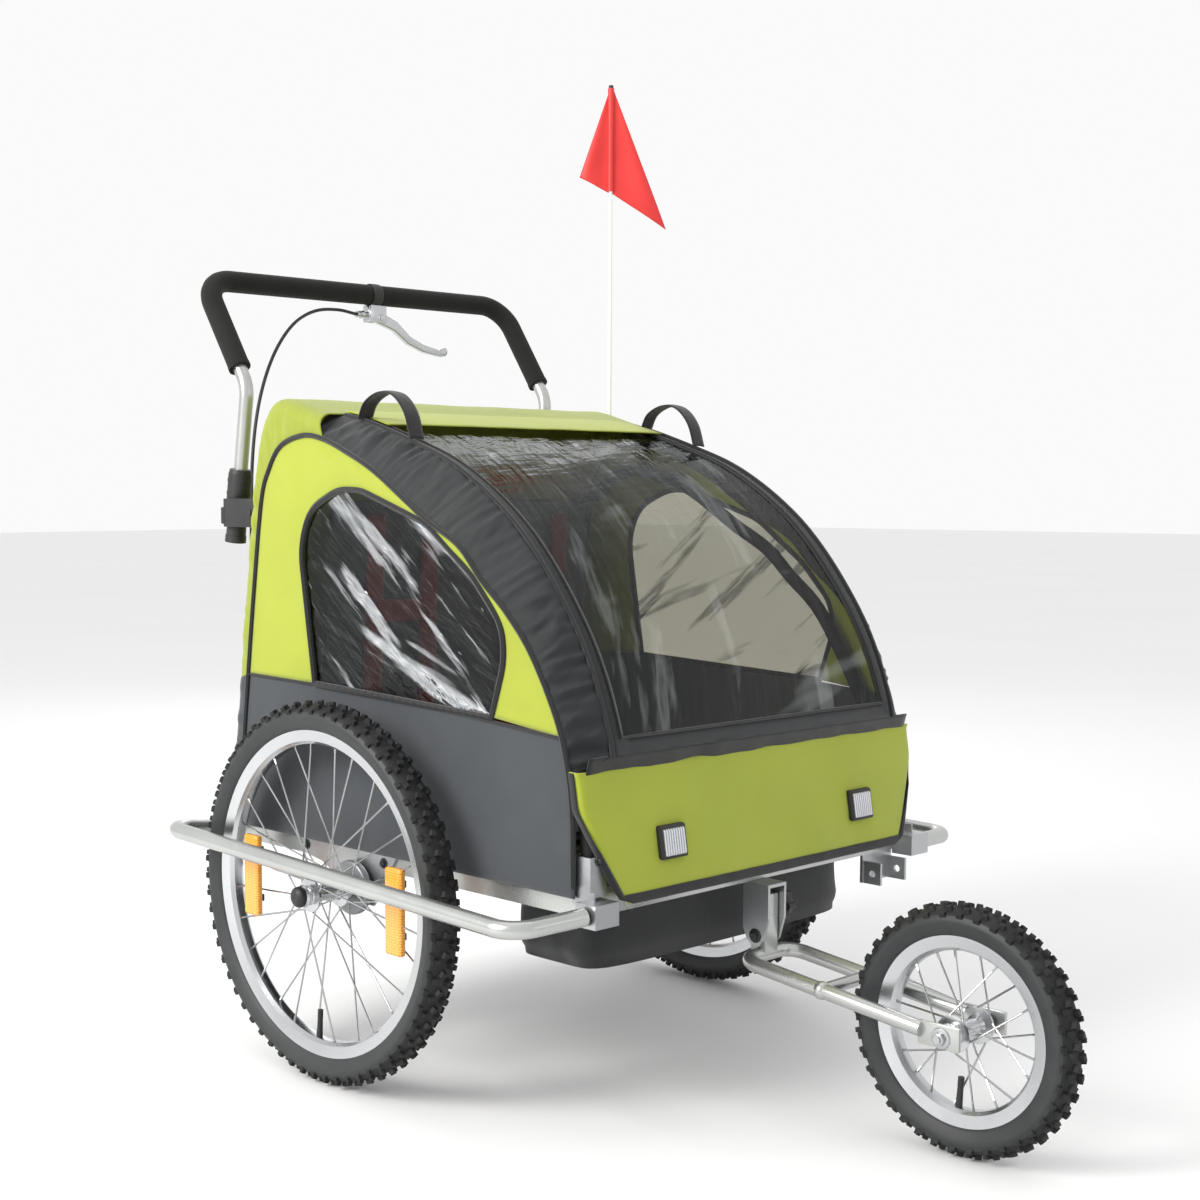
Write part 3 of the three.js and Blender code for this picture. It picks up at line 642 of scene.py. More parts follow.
# ---- Floor and footwell ----
# A black coated-polyester floor is stretched between the rails, with a sunken bag for the feet sewn into
# it ahead of the seat. The bag hangs by its rim and sags a little in the middle.


def fabric(name, light, dark, pitch=0.0011, rough=0.78, depth=0.00035, fleck=0.35):
    """Woven polyester: a plain weave in the piece's own UV map in metres, with slubs and soft clouds."""
    finish = Finish(name, Sheen_Weight=0.25, Sheen_Roughness=0.5, Specular_IOR_Level=0.25)
    cloth_map = finish.coords("UV")
    warp = finish.axis("X", cloth_map) * (2 * math.pi / pitch)
    weft = finish.axis("Y", cloth_map) * (2 * math.pi / pitch)
    weave = warp.sine() * weft.sine()
    slub = finish.noise(1, 2, 0.5, finish.stretched((220, 1500, 1), where=cloth_map))
    slub = slub * 0.5 + finish.noise(1, 2, 0.5, finish.stretched((1500, 220, 1), where=cloth_map)) * 0.5
    cloud = finish.noise(7, 5, 0.6)
    tone = (cloud * 0.75 + (slub - 0.5) * fleck + weave * 0.05 + 0.15).clamped()
    finish.looks(Base_Color=finish.mix(tone, dark, light), Roughness=rough - 0.1 + 0.2 * cloud)
    crease = finish.bump(finish.noise(34, 3, 0.55), 0.0016, 0.35)
    finish.looks(Normal=finish.bump(weave * 0.6 + slub, depth, 0.45, crease))
    return finish


black_cloth = fabric("black_coated_cloth", (0.018, 0.019, 0.021), (0.007, 0.0075, 0.0085), rough=0.6)


def cloth(cells, size, place):
    """A grid of cells laid in space by place(u, v), with its UV map in metres across its cut size."""
    bm = bmesh.new()
    bmesh.ops.create_grid(bm, x_segments=cells[0], y_segments=cells[1], size=0.5,
                          matrix=Matrix.Translation((0.5, 0.5, 0)))
    layer = bm.loops.layers.uv.new("UVMap")
    for face in bm.faces:
        for loop in face.loops:
            loop[layer].uv = (loop.vert.co.x * size[0], loop.vert.co.y * size[1])
    for vert in bm.verts:
        vert.co = place(vert.co.x, vert.co.y)
    bmesh.ops.remove_doubles(bm, verts=bm.verts, dist=1e-6)
    return bm


def ease(share):
    share = min(max(share, 0.0), 1.0)
    return share * share * (3 - 2 * share)


def ripple(x, y, z=0.0, seed=0.0):
    return noise.noise(Vector((x + seed, y - seed * 0.7, z + seed * 0.3)))


def thick(piece, thickness, offset_side=0.0):
    solid = piece.modifiers.new("cloth_thickness", "SOLIDIFY")
    solid.thickness = thickness
    solid.offset = offset_side
    return piece


WELL = ((-262, 262), (-374, -216), (188, 303))


def well_shell(u, v):
    """Round the bag by u, and from its rim down its wall to the middle of its base by v."""
    (x0, x1), (y0, y1), (z0, z1) = WELL
    angle = 2 * math.pi * u
    c, s = math.cos(angle), math.sin(angle)
    reach = 1 / (abs(c) ** 7 + abs(s) ** 7) ** (1 / 7)
    half_x, half_y = (x1 - x0) / 2 - 3, (y1 - y0) / 2 - 3
    if v < 0.5:
        drop = v / 0.5
        pull = 1 - 0.035 * math.sin(math.pi * drop) + 0.02 * ripple(c * 4, s * 2.5, drop * 3, 4)
        pull *= 1 - 0.05 * ease((drop - 0.8) / 0.2)
        z = z1 + (z0 + 6 - z1) * drop
    else:
        inward = (v - 0.5) / 0.5
        pull = (1 - inward) * 0.95
        z = z0 + 6 - 5 * ease(inward * 2) + 2.0 * ripple(c * pull * 5, s * pull * 3, 0, 9) * ease(inward * 2)
    return at(half_x * c * reach * pull, (y0 + y1) / 2 + half_y * s * reach * pull, max(z, z0))


bag = finished("footwell_bag", cloth((96, 30), (1.36, 0.30), well_shell), black_cloth, "black_fabric", "root",
               "floor_and_footwell", flat_over=60)
thick(bag, 0.0016, -1)


def deck(u, v):
    x, y = -284 + 568 * u, -384 + 662 * v
    return at(x, y, 303.6 + 0.8 * ripple(x / 60, y / 60))


floor_cloth = cloth((44, 52), (0.568, 0.662), deck)
over_well = [f for f in floor_cloth.faces
             if abs(f.calc_center_median().x) < 0.258
             and -0.371 < f.calc_center_median().y - AXLE_LINE < -0.219]
bmesh.ops.delete(floor_cloth, geom=over_well, context="FACES")
deck_cloth = finished("floor_cloth", floor_cloth, black_cloth, "black_fabric", "root")
thick(deck_cloth, 0.0014)


# ---- Seat cushion, seat back and harness ----
# A thin foam cushion in charcoal polyester lies on the floor, and a padded sling back leans against the
# frame. Each has sewn channels. Two shoulder straps of red webbing cross each back, joined at the chest.

seat_cloth = fabric("charcoal_cloth", (0.062, 0.068, 0.076), (0.030, 0.034, 0.039))


def pad(name, middle, size, channels, thin_axis, lean, crown, slot, node):
    """A crowned pad: a rounded slab whose faces swell between its sewn channels and its edges."""
    bm = bmesh.new()
    bmesh.ops.create_cube(bm, size=1)
    bmesh.ops.subdivide_edges(bm, edges=bm.edges[:], cuts=23, use_grid_fill=True)
    wide, tall, thin = size
    for vert in bm.verts:
        u, v, w = vert.co * 2
        edge = (1 - u ** 8) * (1 - v ** 8)
        seam = 1.0
        for channel in channels:
            seam *= 1 - 0.75 * math.exp(-((u - channel) / 0.035) ** 2)
        swell = edge ** 0.5 * (0.55 + 0.45 * seam) + 0.05 * ripple(u * 5, v * 5, w, 3)
        pinch = 1 - 0.02 * (1 - abs(w)) - 0.035 * abs(u * v) ** 3
        local = Vector((u * wide / 2 * pinch, v * tall / 2 * pinch, w * thin / 2 * (0.45 + crown * swell)))
        vert.co = middle + lean @ (local / 1000)
    piece = finished(name, bm, seat_cloth, slot, "root", node, flat_over=80)
    layer = piece.data.uv_layers.new(name="UVMap")
    for loop in piece.data.loops:
        spot = lean.inverted() @ (piece.data.vertices[loop.vertex_index].co - middle)
        layer.data[loop.index].uv = (spot.x, spot.y + spot.z)
    return piece


flat = Matrix.Identity(3)
cushion = pad("seat_pad", at(0, -18, 317.6), (510, 366, 23), (-0.5, 0.0, 0.5), "Z", flat, 0.55,
              "charcoal_fabric", "seat_cushion")
back_lean = Matrix.Rotation(math.atan2(22, 428), 3, "X") @ Matrix.Rotation(math.pi / 2, 3, "X")
back = pad("seat_back_pad", at(0, 150, 546), (510, 424, 21), (-0.5, 0.0, 0.5), "Y", back_lean, 0.55,
           "charcoal_fabric", "seat_back")


def shrinks(*soft_pieces):
    for soft in soft_pieces:
        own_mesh(soft)


shrinks(back)

webbing_red = fabric("red_webbing", (0.20, 0.018, 0.015), (0.11, 0.010, 0.009), pitch=0.0022, depth=0.0007)
for word, side in SIDES:
    straps = bmesh.new()
    bands = [(side * 130 + k * 50, 340, 735, 16, (146, 125.5)) for k in (-1, 1)]
    for x, low, high, half, (y_low, y_high) in bands:
        strap = cloth((4, 36), (0.032, 0.395), lambda u, v: at(
            x - half + 2 * half * u, y_low + (y_high - y_low) * v - 1.2 * math.sin(v * 9) ** 2,
            low + (high - low) * v))
        held = bpy.data.meshes.new("strap")
        strap.to_mesh(held)
        strap.free()
        straps.from_mesh(held)
        bpy.data.meshes.remove(held)
    bmesh.ops.create_cube(straps, size=1, matrix=Matrix.Translation(at(side * 130, 130, 600))
                          @ Matrix.Diagonal((0.1, 0.003, 0.030, 1)))
    harness = finished(f"{word}_harness_straps", straps, webbing_red, "red_webbing", "root",
                       f"{word}_harness")
    shrinks(thick(harness, 0.0016))


# ---- Cabin sides ----
# Each side is lime polyester arched round a clear window, sewn to a charcoal lower panel along a straight
# belt seam. A folded grey binding edges the window and dark piping runs round the whole panel.

PIPING = [(-402, 312), (-400, 400), (-390, 460), (-372, 511), (-332, 579), (-290, 625), (-247, 661),
          (-204, 703), (-141, 735), (-47, 792), (18, 821), (64, 837), (106, 842), (155, 829), (183, 797),
          (201, 754), (220, 637), (237, 514), (262, 312)]
SIDE_WINDOW = [(84, 512), (113, 690), (94, 743), (29, 771), (-18, 769), (-146, 728), (-229, 667), (-282, 610),
               (-287, 569), (-264, 498)]
CABIN = 320.5

lime = fabric("lime_polyester", (0.40, 0.455, 0.040), (0.27, 0.315, 0.020), rough=0.66)
binding = fabric("dark_binding", (0.017, 0.0175, 0.018), (0.006, 0.0064, 0.0068), pitch=0.0016)
window_clear = Finish("clear_pvc", Metallic=1.0, Roughness=0.06, Base_Color=(0.92, 0.95, 0.97, 1))


class Track:
    """An open line through side-view or 3-D points, read by its share of the length."""

    def __init__(self, points, smooth=True):
        stops = [Vector(p).to_3d() for p in points]
        self.stops = flowing(stops, 10) if smooth else stops
        self.marks = [0.0]
        for a, b in zip(self.stops, self.stops[1:]):
            self.marks.append(self.marks[-1] + (b - a).length)
        self.length = self.marks[-1]

    def __call__(self, share):
        goal = min(max(share, 0.0), 1.0) * self.length
        low, high = 0, len(self.marks) - 2
        while low < high:
            middle = (low + high + 1) // 2
            if self.marks[middle] <= goal:
                low = middle
            else:
                high = middle - 1
        run = self.marks[low + 1] - self.marks[low]
        return self.stops[low].lerp(self.stops[low + 1], (goal - self.marks[low]) / run if run else 0)


def corded(name, points, radius, finish, slot, body="root", smooth=True, sides=8, closed=False):
    """A sewn piping cord or folded binding along a line."""
    stops = Track(points, smooth).stops
    if closed:
        stops = stops + [stops[0], stops[1]]
    piece = finished(name, swept(stops, radius, sides), finish, slot, body)
    layer = piece.data.uv_layers.new(name="UVMap")
    for loop in piece.data.loops:
        spot = piece.data.vertices[loop.vertex_index].co
        layer.data[loop.index].uv = (spot.x + spot.y, spot.z)
    return piece


def clear_sheet(finish, steep_turn, shallow_turn, along, across, highlight_streak_share, glare=0.7,
                film_tint_and_shade=(0.66, 0.66, 0.60)):
    """Clear film: see-through, with a mirror share that grows toward grazing and is raised in painted
    highlight streaks along its creases.
    """
    tree = finish.tree
    film_map = finish.coords("UV")
    steep = finish.stretched((1, 1, 1), (0, 0, math.radians(steep_turn)), film_map)
    shallow = finish.stretched((1, 1, 1), (0, 0, math.radians(shallow_turn)), film_map)
    drawn = finish.noise(1, 4, 0.62, finish.stretched((along, across, 1), where=steep))
    fine = finish.noise(1, 3, 0.6, finish.stretched((along * 2.2, across * 2.6, 1), where=shallow))
    long_fold = finish.noise(1, 3, 0.6, finish.stretched((along * 0.8, across * 0.6, 1), where=shallow))
    creased = finish.bump(drawn * 0.5 + fine * 0.2 + long_fold * 0.3, 0.014, 0.85)
    finish.looks(Normal=creased, Roughness=0.05 + 0.08 * fine)
    # Painted highlights: the mirror share is raised in narrow streaks along the crease noise, so they shine
    # white from every view.
    streak = finish.ramp(drawn, (0.56, 0.0), (0.63, 1.0), (0.72, 0.25))
    fold = finish.ramp(long_fold, (0.60, 0.0), (0.66, 1.0), (0.76, 0.1))
    painted_highlight_streaks = (finish.node("RGBToBW", {}, {0: streak}) + finish.node("RGBToBW", {}, {0: fold})) * highlight_streak_share
    facing = finish.node("LayerWeight", {}, {"Blend": 0.5, "Normal": creased}, "Facing")
    share = (0.026 + glare * facing ** 4 + painted_highlight_streaks).clamped()
    # The see-through tint is the film's own grey on the side windows; the front film's darker olive tint is
    # painted shade.
    clear = tree.nodes.new("ShaderNodeBsdfTransparent")
    clear.inputs["Color"].default_value = (*film_tint_and_shade, 1)
    both = tree.nodes.new("ShaderNodeMixShader")
    tree.links.new(share.socket, both.inputs[0])
    tree.links.new(clear.outputs[0], both.inputs[1])
    tree.links.new(finish.shader.outputs[0], both.inputs[2])
    tree.links.new(both.outputs[0], tree.nodes["Material Output"].inputs["Surface"])


clear_sheet(window_clear, 40, 20, 2.6, 24, 0.66)
# The front film is a darker olive copy of the same clear PVC, with fewer highlight streaks and less glare;
# its darker tint is painted shade over the cabin behind it.
front_clear_shaded = Finish("front_clear_pvc", Metallic=1.0, Roughness=0.06, Base_Color=(0.92, 0.95, 0.97, 1))
clear_sheet(front_clear_shaded, 74, 12, 3.2, 15, 0.10, 0.30, (0.50, 0.49, 0.42))

outer_arch = Track([(-381, 484)] + PIPING[3:18])
window_line = [p.xy.to_tuple() for p in rounded([Vector(p).to_3d() for p in SIDE_WINDOW], 90, 5)]
inner_arch = Track(window_line[::-1], smooth=False)
belt_front, belt_rear = Vector((-381, 484, 0)), Vector((237, 514, 0))


def on_belt(share):
    """The belt seam, straight from the front piping to just behind the window."""
    spot = belt_front.lerp(belt_rear, share)
    return spot + Vector((0, 6 * math.sin(math.pi * share), 0))


for word, side in SIDES:
    def arch(u, v):
        inner, outer = inner_arch(u), outer_arch(u)
        spot = inner.lerp(outer, v)
        tight = math.sin(math.pi * v)
        puff = tight * (1.6 * ripple(u * 26, v * 1.4, 0, 2 + side) + 2.2 * math.sin(math.pi * u))
        return at(side * (CABIN + puff), spot.x, spot.y)

    upper = finished(f"{word}_arch_panel", cloth((120, 14), (1.25, 0.13), arch), lime, "lime_fabric", "root",
                     f"{word}_side_panel", flat_over=70)
    thick(upper, 0.0012)

    low_front, low_rear = Vector((-403, 299, 0)), Vector((263, 299, 0))
    front_edge = Track([(-403, 299), (-400, 400), (-390, 460), (-381, 484)])

    def lower(u, v):
        low = low_front.lerp(low_rear, u)
        high = on_belt(u)
        front_pull = front_edge(v) - low_front.lerp(belt_front, v)
        spot = low.lerp(high, v) + front_pull * (1 - u) ** 2
        sag = math.sin(math.pi * v) * (2.4 * ripple(u * 7, v * 2.2, 0, 5 + side)
                                       + 1.2 * ripple(u * 16, v * 5, 2))
        return at(side * (CABIN - 0.6 + sag), spot.x, spot.y)

    skirt = finished(f"{word}_lower_panel", cloth((90, 28), (0.65, 0.19), lower), seat_cloth,
                     "charcoal_fabric", "root", flat_over=70)
    thick(skirt, 0.0012)

    heart = Vector((-72, 628, 0))
    rim_track = Track(window_line + [window_line[0]], smooth=False)

    def film(u, v):
        spot = heart.lerp(rim_track(u), v)
        slack = (1 - v ** 6)
        slant = (spot.x + 0.8 * spot.y) / 60
        wave = 3.4 * ripple(slant, (spot.x - spot.y) / 420, 0, 7 + side) + 1.2 * ripple(slant * 2.7, v, 0, 3)
        return at(side * (CABIN - 0.8 + slack * wave), spot.x, spot.y)

    pane_mesh = cloth((96, 30), (1.15, 0.2), film)
    layer = pane_mesh.loops.layers.uv["UVMap"]
    for face in pane_mesh.faces:
        for loop in face.loops:
            loop[layer].uv = (loop.vert.co.y * side, loop.vert.co.z)
    pane = finished(f"{word}_side_pane", pane_mesh, window_clear, "clear_window", "root",
                    f"{word}_side_window",
                    flat_over=80)

    edge = [at(side * (CABIN + 1.2), y, z) for y, z in window_line]
    rim = corded(f"{word}_window_binding", edge + [edge[0]], 0.0044, binding, "webbing", smooth=False)
    cord = corded(f"{word}_side_piping", [at(side * (CABIN + 1.4), y, z) for y, z in PIPING], 0.0036, binding,
                  "webbing")
    seam = corded(f"{word}_belt_seam", [at(side * (CABIN + 1.0), *on_belt(k / 12).xy) for k in range(13)],
                  0.0018,
                  binding, "webbing")
    shrinks(upper, skirt, pane, rim, cord, seam)


# ---- Canopy ----
# One sheet of lime polyester makes the rear wall, the ridge and the strip of roof, and turns down the sides
# to the piping. It is stretched over the uprights, and its lowest part at the back is charcoal.

# This lime is a darker copy of the side panels' lime polyester: painted shade over the whole canopy sheet.
canopy_shaded_lime = fabric("canopy_shaded_lime", (0.335, 0.385, 0.034), (0.215, 0.255, 0.017), rough=0.66)
ridge_track = Track(REAR_EDGE)
piping_track = Track([(262, 312), (237, 514), (220, 637), (201, 754), (183, 797), (155, 829), (106, 842),
                      (64, 837)])
ridge_belt = next(k / 400 for k in range(400) if ridge_track(k / 400).y > 504)
piping_belt = next(k / 400 for k in range(400) if piping_track(k / 400).y > 514)
run_up = canopy_shaded_lime.axis("Y", canopy_shaded_lime.coords("UV"))
lower_mask = ((0.72 * ridge_belt - run_up) * 900).clamped()
top_colour = canopy_shaded_lime.shader.inputs["Base Color"].links[0].from_socket
tinted = canopy_shaded_lime.mix(lower_mask, Value(canopy_shaded_lime, top_colour), (0.045, 0.050, 0.056))
canopy_shaded_lime.looks(Base_Color=tinted)


def canopy_sheet(u, v):
    if v < ridge_belt:
        piping_share = v / ridge_belt * piping_belt
    else:
        piping_share = piping_belt + (v - ridge_belt) / (1 - ridge_belt) * (1 - piping_belt)
    outer, inner = ridge_track(v), piping_track(piping_share)
    drop = max((inner - outer).length, 4)
    bend = min(24, 0.62 * drop)
    half = 320.5
    run = [drop - bend, bend * math.pi / 2, 2 * (half - bend), bend * math.pi / 2, drop - bend]
    shares = [0.13, 0.07, 0.60, 0.07, 0.13]
    step = 0
    while step < 4 and u > shares[step] + 1e-9:
        u -= shares[step]
        step += 1
    part = min(u / shares[step], 1)
    if step == 0:
        x, down = -half, drop - part * run[0]
    elif step == 1:
        x, down = -half + bend * (1 - math.cos(part * math.pi / 2)), bend * (1 - math.sin(part * math.pi / 2))
    elif step == 2:
        x, down = -half + bend + part * run[2], 0
    elif step == 3:
        x, down = half - bend * (1 - math.sin(part * math.pi / 2)), bend * (1 - math.cos(part * math.pi / 2))
    else:
        x, down = half, bend + part * run[4]
    spot = outer.lerp(inner, down / drop)
    along = (ridge_track(min(v + 0.01, 1)) - ridge_track(max(v - 0.01, 0))).normalized()
    out = Vector((along.y, -along.x, 0))
    middle = 1 - (x / half) ** 2
    across = 1 - min(abs(x) / half, 1) ** 10
    slack = across * (2.2 * ripple(x / 90, v * 7, 0, 1) - 4 * middle * math.sin(math.pi * v) ** 2)
    creases = 4.2 * ripple(v * 15 + down / 70, down / 60, 0, 6) + 4.4 * ripple(v * 44 + down / 40, 1, 0, 2)
    side_fold = (1 - across) * creases * math.sin(math.pi * min(down / drop, 1))
    spot = spot + out * slack
    return at(x + math.copysign(side_fold, x), spot.x, spot.y)


roof = finished("canopy_sheet", cloth((120, 132), (0.84, 0.72), canopy_sheet), canopy_shaded_lime, "lime_fabric",
                "root", "canopy", flat_over=80)
thick(roof, 0.0014)
shrinks(roof)


# ---- Front cover ----
# The roll-up cover is black polyester round a clear window. Its sides are gathered on elastic, so that they
# pucker along their whole length, and its edges are bound in webbing.

COVER_EDGE = [(72, 867), (20, 856), (-58, 832), (-129, 807), (-187, 777), (-240, 741), (-282, 704),
              (-324, 656), (-365, 598), (-392, 546), (-412, 491), (-419, 462)]
cover_track = Track(COVER_EDGE)
band_top = Track([(104, 872)] + COVER_EDGE)
band_side = Track([(98, 838), (64, 838)] + PIPING[10:1:-1] + [(-397, 440)])
gathered_cloth = fabric("black_cover_cloth", (0.015, 0.017, 0.020), (0.004, 0.0045, 0.005), rough=0.38)


def cover_normal(share):
    along = (cover_track(min(share + 0.01, 1)) - cover_track(max(share - 0.01, 0))).normalized()
    return Vector((along.y, -along.x, 0))


def cover_face(u, v):
    spot = cover_track(v)
    return at(-276 + 552 * u, spot.x, spot.y)


border = cloth((46, 64), (0.552, cover_track.length / 1000), cover_face)
gone = [f for f in border.faces if abs(f.calc_center_median().x) < 0.258
        and f.calc_center_median().y - AXLE_LINE < 0.045 and f.calc_center_median().z > 0.478]
bmesh.ops.delete(border, geom=gone, context="FACES")
cover = finished("cover_border", border, gathered_cloth, "black_fabric", "root", "front_cover", flat_over=70)
thick(cover, 0.0014)


def front_film(u, v):
    share = 0.045 + (0.985 - 0.045) * v
    spot = cover_track(share)
    x = -262 + 524 * u
    loose = math.sin(math.pi * u) ** 0.6 * math.sin(math.pi * v) ** 0.6
    slant = (x * 0.45 + v * 620) / 75
    wave = 4.2 * ripple(slant, x / 300, 0, 11) + 1.7 * ripple(slant * 2.4, x / 90, 0, 5) - 4
    normal = cover_normal(share)
    return at(x, *(spot + normal * (wave * loose)).xy)


screen = finished("front_screen", cloth((84, 110), (0.524, 0.60), front_film), front_clear_shaded, "clear_window",
                  "root", "front_window", flat_over=80)
shrinks(cover, screen)

for word, side in SIDES:
    def gathered(u, v):
        edge_spot, side_spot = band_top(u), band_side(u)
        spot = edge_spot.lerp(side_spot, v)
        normal = cover_normal(max(u * 1.05 - 0.05, 0))
        round_off = math.sin(math.pi * v) ** 0.7
        slanted = u * 40 + v * 1.1
        ridge = abs(ripple(slanted, v * 0.9, 0, 8 + side)) * -11 + 3
        puckers = ridge + ripple(u * 95, v * 2.2, 0, 2) * 1.6
        hem_pull = 1 - 0.5 * abs(2 * v - 1) ** 3
        shown = ease(u * 14)
        x = 276 + 45 * v
        puff = (6 * round_off * min(1, 0.55 + math.sin(math.pi * u)) + puckers * hem_pull) * shown
        spot = spot + normal * puff * (1 - 0.55 * v)
        return at(side * (x + puff * 0.75 * v * (1 - v * 0.4)), spot.x, spot.y)

    ruffle = finished(f"{word}_gathered_band", cloth((260, 14), (0.80, 0.06), gathered), gathered_cloth,
                      "black_fabric", "root", flat_over=80)
    thick(ruffle, 0.0014)
    cord = corded(f"{word}_cover_piping",
                  [at(side * 276, *(cover_track(k / 40) + cover_normal(k / 40) * 2.2).xy)
                                          for k in range(41)], 0.0032, binding, "webbing")
    hem = corded(f"{word}_band_hem",
                 [at(side * 321.5, *band_side(0.05 + 0.95 * k / 40).xy) for k in range(41)],
                 0.0030, binding, "webbing")
    shrinks(ruffle, cord, hem)

frame_line = [at(x, *(cover_track(share) + cover_normal(share) * 1.5).xy) for x, share in
              [(-258, 0.045 + 0.925 * k / 30) for k in range(31)]
              + [(-258 + 516 * k / 8, 0.97) for k in range(1, 9)]
              + [(258, 0.97 - 0.925 * k / 30) for k in range(1, 31)]
              + [(258 - 516 * k / 8, 0.045) for k in range(1, 9)]]
screen_edge = corded("screen_binding", frame_line, 0.0022, binding, "webbing", smooth=False)
shrinks(screen_edge)


def flap_cloth(u, v):
    """From 12 mm behind the cover's top edge forward, clear of the binding that runs under it."""
    run = -12 + 90 * v
    share = max(run, 0) / cover_track.length
    spot = cover_track(share) + (cover_track(0) - cover_track(0.01)).normalized() * max(-run, 0)
    raised = 6.4 + 0.6 * ripple((u - 0.5) * 11.5, v * 2, 0, 5) - 0.8 * (2 * u - 1) ** 8
    return at(-266 + 532 * u, *(spot + cover_normal(share) * raised).xy)


flap = finished("roof_flap", cloth((70, 14), (0.532, 0.090), flap_cloth), lime, "lime_fabric", "root",
                flat_over=80)
thick(flap, 0.0014)
shrinks(flap)


def apron_cloth(u, v):
    """Black cloth from the cover's lower hem down behind the top edge of the front panel."""
    x = -313 + 626 * u
    y, z = -418.5 + 9 * v, 463 - 30 * v
    return at(x, y + 1.5 * ripple(x / 40, v, 0, 2), z)


apron = finished("cover_apron", cloth((80, 6), (0.626, 0.032), apron_cloth), gathered_cloth, "black_fabric",
                 "root", flat_over=80)
thick(apron, 0.0014)


# ---- Front panel, reflectors and lifting loops ----
# A lime fabric panel covers a stiff board across the front, bound in black webbing, with its lower corners
# cut away. It carries two ribbed silver reflectors. Webbing loops on the cover tie it up when rolled.


def panel_face(x, z, lift=0.0):
    return at(x, -412 - (447 - z) * 0.16 - lift, z)


def panel_half(z):
    if z > 403:
        return 326
    if z > 300:
        return 281 + 45 * (z - 300) / 103
    return 262 + 19 * (z - 290) / 10


def panel_swell(x, z):
    across, up = x / panel_half(z), (z - 290) / 157 * 2 - 1
    calm = max(0, 1 - across ** 8) * max(0, 1 - up ** 6)
    return calm * (3.0 + 1.5 * ripple(x / 70, z / 45, 0, 3) + 0.9 * ripple(x / 26, z / 60, 0, 8))


def panel_rear(z):
    """The rear edge of the cloth's return round the corner, as (x, y) at one height."""
    upper = (322.5, -403 + (max(z, 403) - 403) / 6)
    share = min(max((z - 300) / 103, 0), 1)
    corner_y = -412 - (447 - 300) * 0.16 + 1
    return 281 + (upper[0] - 281) * share, corner_y + (upper[1] - corner_y) * share


def front_cloth(u, v):
    """Across the front by u, starting and ending on the returns at the sides, and up by v."""
    z = 290 + 157 * v
    half, face_y = panel_half(z), -412 - (447 - z) * 0.16
    rear_x, rear_y = panel_rear(z)
    if z < 300:
        rear_x, rear_y = half, face_y
    back = math.hypot(half - rear_x, rear_y - face_y)
    run = u * 2 * (half + back)
    for edge_run, side in ((run, -1), (2 * (half + back) - run, 1)):
        if edge_run < back:
            share = edge_run / back
            return at(side * (rear_x + (half - rear_x) * share), rear_y + (face_y - rear_y) * share, z)
    x = run - back - half
    return panel_face(x, z, panel_swell(x, z))


panel_mesh = cloth((132, 30), (0.69, 0.16), front_cloth)
for _ in range(7):
    inner = [v for v in panel_mesh.verts if not v.is_boundary]
    bmesh.ops.smooth_vert(panel_mesh, verts=inner, factor=0.5, use_axis_x=True, use_axis_y=True,
                          use_axis_z=True)
board = finished("front_panel_cloth", panel_mesh, lime, "lime_fabric", "root", "front_panel", flat_over=70)
thick(board, 0.0024, 0)

panel_line = Track([(0, 157), (0, 0), (688, 0), (688, 157)], smooth=False)


def edging(u, v):
    """A webbing strip folded over the cloth's side and bottom edges, 12 mm wide on its face."""
    here = panel_line(u)
    before, after = panel_line(max(u - 0.004, 0)), panel_line(min(u + 0.004, 1))
    along = (after - before).normalized()
    spot = here + Vector((-along.y, along.x, 0)) * (12.5 * v - 0.8)
    a, b = min(max(spot.x / 688, 0.003), 0.997), min(max(spot.y / 157, 0.003), 0.997)
    across = front_cloth(a + 0.003, b) - front_cloth(a - 0.003, b)
    upward = front_cloth(a, b + 0.003) - front_cloth(a, b - 0.003)
    out = across.cross(upward).normalized()
    raised = 1.5 + 1.3 * max(0, math.sin(math.pi * min(0.12 + v, 1))) ** 0.5 + 0.35 * ripple(u * 60, v, 0, 4)
    return front_cloth(a, b) + out * raised / 1000


webbing = fabric("black_webbing", (0.022, 0.0225, 0.024), (0.008, 0.0085, 0.0095), pitch=0.0020, depth=0.0007)
edge_tape = finished("front_panel_binding", cloth((150, 6), (1.0, 0.0125), edging), webbing, "webbing",
                     "root",
                     flat_over=70)
thick(edge_tape, 0.0012)

silver_lens = Finish("silver_reflector", Metallic=0.75, Coat_Weight=0.6, Coat_Roughness=0.08)
rib = (silver_lens.axis("X") * (2 * math.pi / 0.0042)).sine()
# The lens colour is painted lighter on the rib crests and darker in the grooves between them: painted
# highlight and painted shade over the ribs.
silver_lens.looks(Base_Color=silver_lens.mix(rib * 0.5 + 0.5, (0.38, 0.40, 0.43), (0.82, 0.84, 0.88)),
                  Roughness=0.18 + 0.12 * silver_lens.noise(60, 3), Normal=silver_lens.bump(rib, 0.0012, 0.7))
for word, side in SIDES:
    frame_part, lens = bmesh.new(), bmesh.new()
    for bm, inset, depth, edge in ((frame_part, 0, (-0.4, 8.5), 0.003), (lens, 4.0, (6, 10.6), 0.0022)):
        rounded_box(bm, (side * 0.187 - 0.023 + inset / 1000, -depth[1] / 1000, (334 + inset) / 1000),
                    (side * 0.187 + 0.023 - inset / 1000, -depth[0] / 1000, (374 - inset) / 1000), edge, 3)
        for vert in bm.verts:
            base = panel_face(vert.co.x * 1000, vert.co.z * 1000, -vert.co.y * 1000 + 3.0)
            vert.co = base
    finished(f"{word}_reflector_frame", frame_part, moulded, "black_plastic", "root",
             f"{word}_panel_reflector")
    finished(f"{word}_reflector_lens", lens, silver_lens, "reflector", "root")

